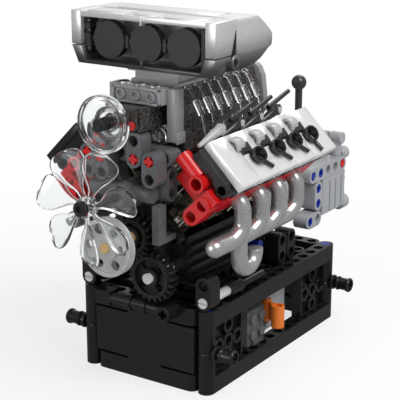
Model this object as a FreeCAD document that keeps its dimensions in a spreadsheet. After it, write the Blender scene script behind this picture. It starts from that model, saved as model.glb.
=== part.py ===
"""Display model of a supercharged V8 engine with its gearbox, on a black stand.

The model is built on the 8 mm grid of studless building beams: round-ended beams
with pin holes, cross axles, bushes, pins, gears and moulded panels. Origin: the
middle of the stand's underside. +Z is up, the fan faces -Y and the gearbox +Y.
A bare number in a position or a length is a count of grid pitches.
"""
import FreeCAD, Part
import math
import os
import Sketcher

Vec = FreeCAD.Vector
Turn = FreeCAD.Rotation
doc = FreeCAD.newDocument("v8_engine_model")
sheet = doc.addObject("Spreadsheet::Sheet", "dims")
nodes = []

SIZES = (
    # grid, beams and fits
    ("pitch", 8, "hole to hole of every beam"),
    ("beam_width", 7.8, "across a beam, a little under the pitch"),
    ("hole_radius", 2.45, "pin hole"),
    ("pin_gap", 0.05, "radial gap of a pin or axle in its hole"),
    ("axle_arm", 1.8, "thickness of one arm of the cross axle"),
    # stand
    ("stand_holes", 15, "holes along a side beam"),
    ("cross_holes", 7, "holes along a cross beam"),
    # engine
    ("crank_up", 72, "crankshaft axis above the table"),
    ("bank_angle", 45, "each bank leans this far from upright"),
    ("bore_step", 16, "cylinder to cylinder"),
    ("piston_radius", 6.4, "piston"),
    ("piston_gap", 0.1, "radial gap of the piston in its cylinder"),
    ("crank_throw", 4, "crank pin from the axis, half the stroke"),
    ("deck_up", 34.8, "top of the cylinder block from the crank axis"),
    ("head_up", 46, "underside of the black head beam"),
    ("cover_up", 53.2, "underside of the white cover"),
    ("cover_thick", 4.2, "white cover"),
    ("bank_front", -62.4, "front end of the heads"),
    ("bank_length", 88, "length of the heads"),
    ("pipe_radius", 3.8, "exhaust header tube"),
    ("collector_radius", 4.1, "exhaust collector"),
    # front drive
    ("pulley_radius", 13.2, "grooved crank pulley"),
    ("dish_radius", 12.6, "clear dish pulley"),
    ("fan_radius", 26, "fan blade tip"),
    ("gear_step", 1, "gear module"),
    ("upper_teeth", 18, "teeth of the crank gear"),
    ("lower_teeth", 22, "teeth of the lower gear"),
    ("gear_thick", 5.6, "toothed width"),
    ("blade_count", 7, "fan blades"),
    ("blade_thick", 0.9, "fan blade"),
    # supercharger and scoop
    ("case_front", -52, "front of the supercharger case"),
    ("case_length", 66, "length of the supercharger case"),
    ("scoop_half", 38.4, "half width of the scoop"),
    ("scoop_top", 169, "top of the scoop above the table"),
    ("disc_radius", 8.4, "throttle disc"),
    # gearbox
    ("box_front", 50, "front of the gearbox"),
    ("box_length", 40, "length of the gearbox case"),
    ("box_half", 16, "half width of the gearbox case"),
    ("gear_side", 24.1, "outer face of the gearbox side beams"),
    ("lever_ball", 4, "radius of the gear lever ball"),
)


def fill_sheet():
    for row, (alias, value, note) in enumerate(SIZES, start=1):
        sheet.set("A%d" % row, note)
        sheet.set("B%d" % row, str(value))
        sheet.setAlias("B%d" % row, alias)
    doc.recompute()


def size(alias):
    """Value of a driving dimension, for the shapes that are computed here."""
    return float(sheet.get(alias))


def mm(value):
    """A number is a count of pitches; a string is already an expression."""
    return value if isinstance(value, str) else "%g * dims.pitch" % value


def put(thing, at=(0, 0, 0), turn=None):
    """Place a piece, its origin bound to the sheet."""
    if turn:
        thing.Placement = FreeCAD.Placement(Vec(0, 0, 0), turn)
    for axis, value in zip("xyz", at):
        thing.setExpression("Placement.Base." + axis, mm(value))
    return thing


ALONG = {
    "x": Turn(Vec(0, 1, 0), 90),
    "y": Turn(Vec(1, 0, 0), -90),
    "z": Turn(),
}
QUARTER = Turn(Vec(0, 0, 1), 90)      # a beam along Y, holes upright
UPRIGHT = Turn(Vec(0, 0, 1), Vec(1, 0, 0), Vec(0, 1, 0), "ZXY")          # along Z, holes along Y
UPRIGHT_SIDE = Turn(Vec(0, 0, 1), Vec(0, 1, 0), Vec(1, 0, 0), "ZXY")     # along Z, holes along X
LENGTHWISE_SIDE = Turn(Vec(0, 1, 0), Vec(0, 0, -1), Vec(1, 0, 0), "ZXY")  # along Y, holes along X


def box(name, low, high):
    thing = doc.addObject("Part::Box", name)
    for prop, a, b in zip(("Length", "Width", "Height"), low, high):
        thing.setExpression(prop, "(%s) - (%s)" % (mm(b), mm(a)))
    return put(thing, low)


def rod(name, at, axis, length, radius="dims.hole_radius - dims.pin_gap"):
    """A round bar from a point along X, Y or Z."""
    thing = doc.addObject("Part::Cylinder", name)
    thing.setExpression("Radius", mm(radius))
    thing.setExpression("Height", mm(length))
    return put(thing, at, ALONG[axis])


def cone(name, at, along, length, radius, end_radius):
    """A tapered round bar from a point, in the direction of a vector."""
    thing = doc.addObject("Part::Cone", name)
    thing.setExpression("Radius1", mm(radius))
    thing.setExpression("Radius2", mm(end_radius))
    thing.setExpression("Height", mm(length))
    return put(thing, at, Turn(Vec(0, 0, 1), Vec(*along)))


def ball(name, at, radius):
    thing = doc.addObject("Part::Sphere", name)
    thing.setExpression("Radius", mm(radius))
    return put(thing, at)


def ring(name, at, axis, radius, wire):
    thing = doc.addObject("Part::Torus", name)
    thing.setExpression("Radius1", mm(radius))
    thing.setExpression("Radius2", mm(wire))
    return put(thing, at, ALONG[axis])


def fuse(name, *pieces):
    thing = doc.addObject("Part::MultiFuse", name)
    thing.Shapes = list(pieces)
    return thing


def cut(name, base, *tools):
    thing = doc.addObject("Part::Cut", name)
    thing.Base = base
    thing.Tool = tools[0] if len(tools) == 1 else fuse(name + "_tool", *tools)
    return thing


def copy(source, at=(0, 0, 0), turn=None):
    link = doc.addObject("App::Link", source.Name + "_copy")
    link.LinkedObject = source
    return put(link, at, turn)


def held(piece):
    """A compound of one piece, so a link or a mirror of it keeps the piece's own place."""
    thing = doc.addObject("Part::Compound", piece.Name + "_held")
    thing.Links = [piece]
    return thing


def mirror(source, normal):
    if source.TypeId == "App::Link":
        source = held(source)
    thing = doc.addObject("Part::Mirroring", source.Name + "_mirror")
    thing.Source = source
    thing.Normal = normal
    return thing


ACROSS = Vec(1, 0, 0)
ENDWISE = Vec(0, 1, 0)


def group(name, *pieces):
    thing = doc.addObject("Part::Compound", name)
    thing.Links = list(pieces)
    return node(thing, name)


def node(thing, name):
    """A finished sub-part: its label names its file."""
    thing.Label = name
    nodes.append(thing)
    return thing


# ---- PartDesign helpers ---------------------------------------------------
def body(name):
    return doc.addObject("PartDesign::Body", name)


def sketch(owner, role, name):
    sk = owner.newObject("Sketcher::SketchObject", owner.Name + "_" + name)
    plane = next(f for f in owner.Origin.OriginFeatures if f.Role == role)
    sk.AttachmentSupport = (plane, [""])
    sk.MapMode = "FlatFace"
    return sk


def bind(sk, constraint, expression):
    index = sk.addConstraint(constraint)
    sk.setExpression("Constraints[%d]" % index, expression)


def pin_point(sk, edge, end, point, values):
    """Hold one sketch point at two expressions from the sketch origin."""
    for kind, expression, value in zip(("DistanceX", "DistanceY"), point, values):
        bind(sk, Sketcher.Constraint(kind, -1, 1, edge, end, value), expression)


def evaluate(expression):
    return float(sheet.evalExpression(expression))


def outline(sk, points):
    """A closed outline of straight lines, every corner bound to the sheet."""
    exact = [tuple(mm(value) for value in point) for point in points]
    where = [tuple(evaluate(value) for value in point) for point in exact]
    first = sk.GeometryCount
    for index, start in enumerate(where):
        stop = where[(index + 1) % len(where)]
        sk.addGeometry(Part.LineSegment(Vec(*start, 0), Vec(*stop, 0)), False)
    for index in range(len(where)):
        after = first + (index + 1) % len(where)
        sk.addConstraint(Sketcher.Constraint("Coincident", first + index, 2, after, 1))
    for index, point in enumerate(exact):
        pin_point(sk, first + index, 1, point, where[index])


def circle(sk, centre, radius):
    exact = [mm(value) for value in centre]
    where = [evaluate(value) for value in exact]
    spot = sk.GeometryCount
    start = evaluate(mm(radius))
    sk.addGeometry(Part.Circle(Vec(*where, 0), Vec(0, 0, 1), start), False)
    bind(sk, Sketcher.Constraint("Radius", spot, start), mm(radius))
    pin_point(sk, spot, 3, exact, where)


def pad(owner, sk, length, midplane=False, back=False):
    feature = owner.newObject("PartDesign::Pad", sk.Name + "_pad")
    feature.Profile = sk
    feature.setExpression("Length", mm(length))
    feature.Midplane = midplane
    feature.Reversed = back
    doc.recompute()
    return feature


def pocket(owner, sk):
    """Cut a sketch right through the body, both ways."""
    before = owner.Shape.Volume
    feature = owner.newObject("PartDesign::Pocket", sk.Name + "_pocket")
    feature.Profile = sk
    feature.Type = "ThroughAll"
    feature.Midplane = True
    doc.recompute()
    if feature.Shape.Volume >= before:
        raise ValueError("%s cuts nothing" % sk.Name)
    return feature


def row(owner, feature, sk, count, length):
    pattern = owner.newObject("PartDesign::LinearPattern", feature.Name + "_row")
    pattern.Originals = [feature]
    pattern.Direction = (sk, ["H_Axis"])
    pattern.setExpression("Length", length)
    pattern.setExpression("Occurrences", count)
    owner.Tip = pattern
    doc.recompute()
    return pattern


def spin(owner, feature, sk, count):
    pattern = owner.newObject("PartDesign::PolarPattern", feature.Name + "_ring")
    pattern.Originals = [feature]
    pattern.Axis = (sk, ["N_Axis"])
    pattern.Angle = 360
    pattern.setExpression("Occurrences", count)
    owner.Tip = pattern
    doc.recompute()
    return pattern


def revolve(owner, sk, axis):
    feature = owner.newObject("PartDesign::Revolution", sk.Name + "_turned")
    feature.Profile = sk
    feature.ReferenceAxis = (sk, [axis])
    feature.Angle = 360
    doc.recompute()
    return feature


def prism(name, points, length, role="XZ_Plane", midplane=True):
    """An extruded outline. On XZ the sketch lies in X and Z and grows along Y."""
    owner = body(name)
    sk = sketch(owner, role, "outline")
    outline(sk, points)
    pad(owner, sk, length, midplane)
    return owner


def turned(name, points):
    """A body turned about its own Z axis from an outline in radius and height."""
    owner = body(name)
    sk = sketch(owner, "XZ_Plane", "half")
    outline(sk, points)
    revolve(owner, sk, "V_Axis")
    return owner


def beam(name, count, holes=True):
    """Round-ended beam along X from its first hole, holes upright, centred in Z."""
    owner = body(name)
    sk = sketch(owner, "XY_Plane", "outline")
    reach, half = "(%s - 1) * dims.pitch" % count, "dims.beam_width / 2"
    length, radius = evaluate(reach), evaluate(half)
    quarter = math.pi / 2
    left = Part.Circle(Vec(0, 0, 0), Vec(0, 0, 1), radius)
    right = Part.Circle(Vec(length, 0, 0), Vec(0, 0, 1), radius)
    sk.addGeometry(Part.ArcOfCircle(left, quarter, 3 * quarter), False)
    sk.addGeometry(Part.LineSegment(Vec(0, -radius, 0), Vec(length, -radius, 0)), False)
    sk.addGeometry(Part.ArcOfCircle(right, -quarter, quarter), False)
    sk.addGeometry(Part.LineSegment(Vec(length, radius, 0), Vec(0, radius, 0)), False)
    for one, end, other, start in ((0, 2, 1, 1), (1, 2, 2, 1), (2, 2, 3, 1), (3, 2, 0, 1)):
        sk.addConstraint(Sketcher.Constraint("Tangent", one, end, other, start))
    sk.addConstraint(Sketcher.Constraint("Coincident", 0, 3, -1, 1))
    sk.addConstraint(Sketcher.Constraint("PointOnObject", 2, 3, -1))
    bind(sk, Sketcher.Constraint("Radius", 0, radius), half)
    bind(sk, Sketcher.Constraint("DistanceX", 0, 3, 2, 3, length), reach)
    pad(owner, sk, 1, midplane=True)
    if holes:
        hole = sketch(owner, "XY_Plane", "hole")
        circle(hole, (0, 0), "dims.hole_radius")
        row(owner, pocket(owner, hole), sk, str(count), reach)
    return owner


def axle(name, length):
    """Cross axle along Z."""
    span, arm = "1.84 * (dims.hole_radius - dims.pin_gap)", "dims.axle_arm"
    parts = []
    for wide, deep in ((span, arm), (arm, span)):
        low = ("-(%s) / 2" % wide, "-(%s) / 2" % deep, "0 * dims.pitch")
        high = ("(%s) / 2" % wide, "(%s) / 2" % deep, mm(length))
        parts.append(box(name + "_arm", low, high))
    return fuse(name, *parts)


FACE = "(7 * dims.pitch + dims.beam_width / 2)"     # outer face of the stand's end beams
PIN = "dims.hole_radius - dims.pin_gap"


def four(source):
    """The piece at +X, -Y and its three mirror images."""
    rear = mirror(source, ENDWISE)
    return source, rear, mirror(source, ACROSS), mirror(rear, ACROSS)


def stand():
    long_beam = beam("long_beam", "dims.stand_holes")
    ends = [copy(long_beam, (x, -7, z), QUARTER) for x in (-4, 4) for z in (0.5, 4.5)]
    group("stand_side_beams", *ends)
    short_beam = beam("short_beam", "dims.cross_holes")
    ends = [copy(short_beam, (-3, y, z)) for y in (-7, 7) for z in (0.5, 4.5)]
    group("stand_cross_beams", *ends)
    group("deck_beams", *[copy(short_beam, (-3, y, 4.5)) for y in (-5, -3, -1, 1, 3, 5)])

    post = rod("post", (4, -7, 1), "z", 3, "dims.beam_width / 2")
    bore = rod("post_bore", (4, -7, 0), "z", 5, "dims.hole_radius")
    side = rod("post_side_hole", (3, -7, 2.5), "x", 2, "dims.hole_radius")
    band = ring("post_band", (4, -7, 2.5), "z", "dims.beam_width / 2 + 0.3", 0.08)
    group("corner_columns", *four(cut("column", post, bore, side, band)))

    # a recessed panel with five holes in a plus, between a corner and the window
    back = box("panel_back", (3.55, -6.5, 1), (3.9, -3.5, 4))
    bosses = [rod("boss", (3.55, y, z), "x", 0.65, "dims.beam_width / 2")
              for y, z in ((-6, 2.5), (-5, 2.5), (-4, 2.5), (-5, 3.5), (-5, 1.5))]
    holes = [rod("boss_hole", (3, y, z), "x", 2, "dims.hole_radius")
             for y, z in ((-6, 2.5), (-5, 2.5), (-4, 2.5), (-5, 3.5), (-5, 1.5))]
    rim = [box("panel_rim", (3.55, -6.5, 3.85), (4.2, -3.5, 4)),
           box("panel_rim", (3.55, -6.5, 1), (4.2, -3.5, 1.15)),
           box("panel_rim", (3.55, -3.65, 1), (4.2, -3.5, 4))]
    panel = cut("side_panel", fuse("side_panel_solid", back, *bosses, *rim), *holes)
    group("side_end_panels", *four(panel))

    # smooth end panel, its middle third reaching the beams above and below
    edge = ((-3.46, 1.14), (-1.15, 1.14), (-1.15, 1), (1.15, 1), (1.15, 1.14), (3.46, 1.14),
            (3.46, 3.86), (1.15, 3.86), (1.15, 4), (-1.15, 4), (-1.15, 3.86), (-3.46, 3.86))
    front = prism("end_panel", edge, 0.8)
    put(front, (0, -7.08, 0))
    group("end_panels", front, mirror(front, ENDWISE))

    shaft = copy(axle("stub_axle", 2.9), (3.55, -7, 2.5), ALONG["x"])
    group("handle_axles", *four(shaft))
    sleeve = [rod("sleeve", (x, -7, 2.5), "x", length, radius) for x, length, radius in (
        ("4 * dims.pitch + dims.beam_width / 2", 0.14, 0.47), (4.6, 0.3, 0.38),
        (4.9, 0.12, 0.47), (5.02, 1.3, 0.4), (6.32, 0.25, 0.46))]
    hollow = rod("sleeve_bore", (4, -7, 2.5), "x", 3, "dims.hole_radius")
    group("handle_bushes", *four(cut("handle_bush", fuse("bush_solid", *sleeve), hollow)))

    # battery box with the ears and pin that carry the switch lever
    case = prism("battery_case", ((-3.3, 1), (3.3, 1), (3.3, 4), (-3.3, 4)), 6.4)
    ears = [box("switch_ear", (3.2, -0.05, z), (3.8, 0.55, z + 0.25)) for z in (1.55, 3.4)]
    pin = rod("switch_pin", (3.62, 0.25, 1.6), "z", 2, 0.13)
    fuse_box = fuse("battery_solid", case, *ears, pin)
    edges = doc.addObject("Part::Fillet", "battery_rounded")
    edges.Base = case
    doc.recompute()
    upright = [index for index, edge_ in enumerate(case.Shape.Edges, start=1)
               if abs(edge_.tangentAt(edge_.FirstParameter).z) > 0.9]
    edges.Edges = [(index, 2.4, 2.4) for index in upright]
    fuse_box.Shapes = [edges, *ears, pin]
    node(fuse_box, "battery_box")
    plate = box("plug_plate", (3.32, -2.45, 1.05), (3.9, -0.6, 3.25))
    tail = box("plug_tail", (3.32, -1.9, 1.0), (4.0, -0.75, 1.3))
    studs = [rod("plug_stud", (3.9, y, z), "x", 0.2, 0.3)
             for y in (-2, -1) for z in (1.75, 2.75)]
    node(fuse("connector_plug_solid", plate, tail, *studs), "connector_plug")

    hub = rod("lever_hub", (3.62, 0.25, 1.88), "z", 1.44, 0.27)
    fin = prism("lever_fin", ((3.5, 0.32), (3.8, 0.45), (4.85, -0.25), (4.7, -0.45)), 1.1,
                "XY_Plane", False)
    put(fin, (0, 0, 2.05))
    knob = rod("lever_knob", (4.75, -0.35, 1.92), "z", 1.36, 0.4)
    hole = rod("lever_bore", (3.62, 0.25, 1.5), "z", 2.2, "0.13 * dims.pitch + dims.pin_gap")
    dish = rod("lever_dish", (4.75, -0.35, 3.1), "z", 0.3, 0.27)
    node(cut("lever", fuse("lever_solid", hub, fin, knob), hole, dish), "switch_lever")


def stand_fittings():
    # upright eye brackets on the front corners and a tie tube between them
    ear = beam("bracket_beam", 2)
    eye = copy(ear, (4, -6.9, 5.5), UPRIGHT)
    group("corner_brackets", eye, mirror(eye, ACROSS))
    bar = rod("tie_bar", (-2.2, -7.95, 4.8), "x", 4.3, 0.36)
    block = box("tie_block", (-2.85, -8.3, 4.4), (-1.8, "-" + FACE, 5.25))
    rings = [rod("tie_ring", (x, -7.95, 4.8), "x", 0.12, 0.45) for x in (-0.5, 0.55)]
    boss = rod("tie_boss", (2.1, -8.6, 4.8), "y", "8.6 * dims.pitch - " + FACE, 0.46)
    socket = copy(axle("tie_socket", 0.7), (2.1, -8.7, 4.8), ALONG["y"])
    front = cut("front_tie", fuse("front_tie_solid", bar, block, *rings, boss), socket)
    tube = rod("side_tube", (4, -4.9, 5.49), "y", 1.3, 0.42)
    thin = rod("side_rod", (4, -3.6, 5.4), "y", 2.6, 0.24)
    along = fuse("side_tie", tube, thin)
    group("tie_tubes", front, along, mirror(along, ACROSS))
    pin = rod("corner_pin", (4, -7.45, 5.5), "y", 1.03)
    slot = box("pin_slot", (3.6, -7.6, 5.45), (4.4, -7.37, 5.55))
    short = rod("side_pin", (4, "-6.4 * dims.pitch", 5.5), "y", 1.5, 0.29)
    fronts = fuse("grey_pin", cut("slotted_pin", pin, slot), short)
    group("grey_pins", fronts, mirror(fronts, ACROSS), *rod_pins())
    foot = rod("stand_pin", (4, -7, 0), "z", 2)
    head = rod("stand_pin_top", (4, -7, 3), "z", 2)
    blue = [rod("cradle_pin", (2.65, y, 6.7), "x", 0.6) for y in (0, -1)]
    blue += [mirror(pin_, ACROSS) for pin_ in blue[:2]]
    group("blue_pins", *four(foot), *four(head), *blue, *gearbox_pins())

    rail = beam("cradle_rail", 11)
    rails = [copy(rail, (x, -5, 5.5), LENGTHWISE_SIDE) for x in (-2, 2)]
    uprights = [copy(ear, (3.15, y, 5.5), UPRIGHT_SIDE) for y in (2, 3.1)]
    foot_beam = copy(beam("bank_foot", 2), (0.435, -7.07, 1.31), Turn(Vec(1, 0, 0), -90))
    slab = box("foot_slab", (-2, -7.3, 0), (3, -6.85, 3))
    lean = doc.addObject("Part::Common", "bank_foot_thin")
    lean.Base, lean.Tool = foot_beam, slab
    lean = bank(lean)
    group("engine_cradle", *rails, *uprights, *[mirror(up, ACROSS) for up in uprights], lean,
          mirror(lean, ACROSS))


def rod_pins():
    """Light pin ends through the heads of the rods beside each valve cover."""
    pins = []
    for number in range(4):
        pin = held(rod("rod_pin", (-0.36, 0, 0), "x", 0.72, 0.19))
        pins.append(bank(held(level(pin, -1.6, cylinder_at(number, -0.32), ROD_TOP))))
    return pins + [mirror(pin, ACROSS) for pin in pins]


def gearbox_pins():
    """Hollow pins, an axle end and a pin end in the beams of each gearbox side."""
    inner = "dims.gear_side - dims.beam_width"
    pins = []
    for y, z in ((7.7, 8.36), (7.7, 7.36), (6.65, 6.36), (7.95, 9.35)):
        pin = rod("gear_pin", (inner, y, z), "x", "dims.beam_width")
        pins.append(cut("hollow_pin", pin, rod("pin_hollow", ("dims.gear_side - 3", y, z), "x", 1, 0.17)))
    pins.append(copy(axle("gear_axle", "dims.beam_width"), (inner, 6.95, 9.35), ALONG["x"]))
    return pins + [mirror(pin, ACROSS) for pin in pins]


# ---- engine block -----------------------------------------------------------
CRANK = "dims.crank_up"
THROWS = (0, 90, 270, 180)          # crank pin of each cylinder pair, from upright to +X


def cylinder_at(number, shift=0):
    """Where a cylinder pair lies along the engine, and a shift in pitches from it."""
    return "dims.bank_front + 20 + %d * dims.bore_step + %s" % (number, mm(shift))


def bank(piece):
    """Lean a piece drawn upright on the crank axis over to the right bank."""
    link = copy(piece, (0, 0, CRANK), Turn(Vec(0, 1, 0), 45))
    link.setExpression("Placement.Rotation.Angle", "dims.bank_angle")
    return link


def level(piece, x, y, z):
    """A piece that stays level, carried at a point of the leaning bank."""
    link = copy(piece, (x, y, z), Turn(Vec(0, 1, 0), -45))
    link.setExpression("Placement.Rotation.Angle", "-dims.bank_angle")
    return link


def crankcase():
    ridge = "%s + 2.44 * dims.pitch" % CRANK
    shoulder = "%s - 0.16 * dims.pitch" % CRANK
    profile = ((-2.1, 6), (2.1, 6), (2.1, shoulder), (0.16, "%s - 0.16 * dims.pitch" % ridge),
               (-0.16, "%s - 0.16 * dims.pitch" % ridge), (-2.1, shoulder))
    web = prism("bulkhead", profile, 0.4)
    spots = [cylinder_at(number, 1) for number in range(4)]
    webs = [copy(web, (0, y, 0)) for y in [cylinder_at(0, -1)] + spots]
    start, stop = cylinder_at(0, -1.2), cylinder_at(3, 1.2)
    floor = box("case_floor", (-2.4, start, 6), (2.4, stop, 6.2))
    walls = [box("case_wall", (x, start, 6), (x + 0.3, stop, shoulder)) for x in (-2.4, 2.1)]
    ribs = [box("case_rib", (x, start, z), (x + 0.25, stop, z + 0.22))
            for x in (-2.65, 2.4) for z in (6.3, 6.9, 7.5, 8.1)]
    main_bore = rod("main_bore", (0, -9, CRANK), "y", 13, "dims.hole_radius")
    low_bore = rod("low_bore", (1.2, -9, LOWER), "y", 3, "dims.hole_radius")
    solid = fuse("crankcase_solid", floor, *walls, *ribs, *webs)
    node(cut("crankcase_block", solid, main_bore, low_bore), "crankcase")


REACH = "(dims.upper_teeth + dims.lower_teeth) * dims.gear_step / 2"
LOWER = "dims.crank_up - sqrt((%s) ^ 2 - (1.2 * dims.pitch) ^ 2)" % REACH


def crankshaft():
    pieces = [rod("front_journal", (0, -11.05, CRANK), "y",
                  "11.05 * dims.pitch + %s" % cylinder_at(0, -0.5))]
    for number, angle in enumerate(THROWS):
        side = "dims.crank_throw * %d" % round(math.sin(math.radians(angle)))
        lift = "%s + dims.crank_throw * %d" % (CRANK, round(math.cos(math.radians(angle))))
        pieces.append(rod("crank_pin", (side, cylinder_at(number, -0.5), lift), "y", 1))
        for shift in (-0.72, 0.5):
            spot = (0, cylinder_at(number, shift), CRANK)
            pieces.append(rod("crank_web", spot, "y", 0.22, "dims.crank_throw + 3"))
        spot = (0, cylinder_at(number, 0.5), CRANK)
        pieces.append(rod("journal", spot, "y", 1 if number < 3 else 3.4))
    node(fuse("crankshaft_solid", *pieces), "crankshaft")


def piston(number, side):
    """Piston and rod in one bank; the rod stops clear of the turning crank pin."""
    lean = 45 if side == "right" else -45
    stroke = math.cos(math.radians(THROWS[number] - lean))
    crown = "dims.deck_up - 1.5 - dims.crank_throw * %.6f" % (1 - stroke)
    skirt = rod("piston_skirt", (0, 0, "%s - 7" % crown), "z", "7", "dims.piston_radius")
    grooves = [ring("ring_groove", (0, 0, "%s - %g" % (crown, down)), "z",
                    "dims.piston_radius + 0.2", "0.5") for down in (1.4, 2.9)]
    head = cut("piston_crown", skirt, *grooves)
    shank = box("rod_shank", (-0.2, -0.15, "%s - 13" % crown), (0.2, 0.15, "%s - 7" % crown))
    eye = rod("rod_eye", (0, -0.3, "%s - 12.5" % crown), "y", 0.6, 0.36)
    whole = fuse("piston_solid", head, shank, eye)
    placed = copy(whole, (0, cylinder_at(number), CRANK), Turn(Vec(0, 1, 0), lean))
    sign = "" if side == "right" else "-"
    placed.setExpression("Placement.Rotation.Angle", "dims.bank_angle")
    if sign:
        placed.Placement = FreeCAD.Placement(Vec(0, 0, 0), Turn(Vec(0, -1, 0), 45))
    return node(placed, "piston_%s_%d" % (side, number + 1))


def banks():
    start, stop = "dims.bank_front + 8", "dims.bank_front + 36 + 3 * dims.bore_step"
    solid = box("block_solid", (-1.45, start, 1.75), (1.45, stop, "dims.deck_up"))
    bores = [rod("cylinder_bore", (0, cylinder_at(number), 1), "z", 4,
                 "dims.piston_radius + dims.piston_gap") for number in range(4)]
    flutes = [rod("block_flute", (side, cylinder_at(number, 1), 1.5), "z", 3, 0.16)
              for number in range(3) for side in (-1.45, 1.45)]
    right = bank(cut("block", solid, *bores, *flutes))
    node(right, "cylinder_block_right")
    node(mirror(right, ACROSS), "cylinder_block_left")

    # red rails along the head with the eye beams in front of the block
    top, under = "dims.head_up", "dims.deck_up"
    rails = [box("red_rail", (low, start, under), (low + 0.7, stop, top)) for low in (-0.95, 1.25)]
    ties = [box("red_tie", (-0.25, y, under), (1.25, "%s + 4" % y, top))
            for y in (start, "%s - 4" % stop)]
    plate = box("red_web", (-0.9, "%s - 4" % start, 4.0), (1.0, start, 5.6))
    eye_beam = beam("red_eye_beam", 2)
    low_beam = copy(eye_beam, (1.47, "%s - 8" % start, 3.9), UPRIGHT)
    stem = box("red_stem", (1.0, "%s - 11" % start, 4.9), (1.9, start, 5.72))
    tube = rod("red_tube", (-1.35, "%s - 7" % start, 5.5), "x", 1.45, 0.47)
    knob = rod("red_knob", (-1.45, "%s - 7" % start, 5.5), "x", 0.3, 0.42)
    mouth = rod("red_mouth", (0.4, "%s - 12" % start, 5.45), "y", 1.5, 0.49)
    mouth_bore = rod("red_mouth_bore", (0.4, "%s - 13" % start, 5.45), "y", 2, 0.34)
    web_hole = rod("red_web_hole", (-0.47, "%s - 9" % start, 5.05), "y", 2, 0.3)
    red = cut("red_frame", fuse("red_solid", *rails, *ties, plate, low_beam, stem, tube, knob, mouth),
              mouth_bore, web_hole)
    right = bank(red)
    node(right, "bank_frame_right")
    node(mirror(right, ACROSS), "bank_frame_left")

    # black head beam with a pin eye at its front lower corner
    front, end = "dims.bank_front", "dims.bank_front + dims.bank_length"
    beam_top = "dims.cover_up"
    base = box("head_base", (-0.95, start, top), (1.95, end, beam_top))
    strip = box("head_strip", (-0.95, front, "%s + 2" % top), (1.5, start, beam_top))
    eye = rod("head_eye", (1.5, front, "%s + 3.4" % top), "y", 1, "3.4")
    eye_hole = rod("head_eye_hole", (1.5, "%s - 1" % front, "%s + 3.4" % top), "y", 2, "2.1")
    sockets = [rod("head_socket", (1.2, cylinder_at(number, 1), "%s + 3.6" % top), "x", 1, "2.1")
               for number in range(4)]
    right = bank(cut("head", fuse("head_solid", base, strip, eye), eye_hole, *sockets))
    group("head_beams", right, mirror(right, ACROSS))

    # white cover: a front tile, then four stepped tiles with raised upper tabs
    lift = "dims.cover_up + dims.cover_thick"
    wide = prism("cover_plate", ((-1.05, "dims.cover_up"), (2.12, "dims.cover_up"),
                 (2.12, "%s - 1" % lift), (2.0, lift), (-0.8, lift), (-1.05, "%s - 1.6" % lift)),
                 "dims.bank_length + 1.6")
    put(wide, (0, "dims.bank_front + dims.bank_length / 2", 0))
    seams = [box("cover_seam", (-1.3, cylinder_at(number, -1.02), "%s - 0.5" % lift),
                 (2.3, cylinder_at(number, -0.98), "%s + 1" % lift)) for number in range(5)]
    tabs = [box("cover_tab", (-1.0, cylinder_at(number, -0.4), "%s - 3" % lift),
                (-0.2, cylinder_at(number, 0.5), "%s + 2.4" % lift)) for number in range(4)]
    right = bank(cut("cover", fuse("cover_solid", wide, *tabs), *seams))
    node(right, "valve_cover_right")
    node(mirror(right, ACROSS), "valve_cover_left")

    # a ribbed spout and its leg below each raised tile
    cup = fuse("cup_solid", rod("cup_barrel", (0, 0, 0), "x", 0.52, 0.38),
               rod("cup_lip", (0.36, 0, 0), "x", 0.18, 0.45))
    cup = cut("cup", cup, rod("cup_bore", (0.15, 0, 0), "x", 1, 0.32))
    spots = [spout(number, lift, cup) for number in range(4)]
    group("cover_clips", *spots, *[mirror(spot, ACROSS) for spot in spots])
    pegs = [plug_rod(number) for number in range(4)]
    group("plug_rods", *pegs, *[mirror(peg, ACROSS) for peg in pegs])


def spout(number, lift, cup):
    y = cylinder_at(number, 0.5)
    leg = box("spout_leg", (0.3, cylinder_at(number, 0.42), lift),
              (2.1, cylinder_at(number, 0.62), "%s + 1.7" % lift))
    block_ = box("spout_block", (-0.2, cylinder_at(number, 0.2), lift),
                 (0.45, cylinder_at(number, 0.8), "%s + 3" % lift))
    room = held(rod("spout_room", (0.15, 0, 0), "x", 1, 0.32))
    stub = cut("spout_stub", block_, level(room, -0.1, y, "%s + 2.4" % lift))
    return bank(fuse("spout_solid", leg, stub, level(cup, -0.1, y, "%s + 2.4" % lift)))


ROD_TOP = "dims.cover_up + 2.5"


def plug_rod(number):
    """Tapered rod beside the cover: it climbs to a round head on a short peg, and a thin bar goes on."""
    climb = (0, 1.65, 0.4)
    taper = cone("rod_taper", (0, -1.65, -0.4), climb, 1.7, 0.15, 0.33)
    bar = cone("rod_bar", (-0.2, 0, 0.12), (0, 1.75, 0.42), 1.85, 0.15, 0.11)
    head = rod("rod_head", (-0.33, 0, 0), "x", 0.6, 0.36)
    bore = rod("rod_bore", (-1, 0, 0), "x", 2, "0.19 * dims.pitch + dims.pin_gap")
    shape = level(cut("rod_shape", fuse("rod_solid", taper, bar, head), bore), -1.6,
                  cylinder_at(number, -0.32), ROD_TOP)
    return bank(held(shape))


# ---- exhaust ----------------------------------------------------------------
def bent_wire(points, bend):
    """Straight runs through the points, joined by tangent arcs of one radius."""
    points = [Vec(*point) for point in points]
    edges, last = [], points[0]
    for before, corner, after in zip(points, points[1:], points[2:]):
        come, go = (corner - before).normalize(), (after - corner).normalize()
        half = come.getAngle(go) / 2
        back = bend * math.tan(half)
        start, stop = corner - come * back, corner + go * back
        inward = (go - come).normalize()
        middle = corner + inward * (bend / math.cos(half) - bend)
        edges.append(Part.LineSegment(last, start).toShape())
        edges.append(Part.Arc(start, middle, stop).toShape())
        last = stop
    edges.append(Part.LineSegment(last, points[-1]).toShape())
    return Part.Wire(edges)


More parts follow.
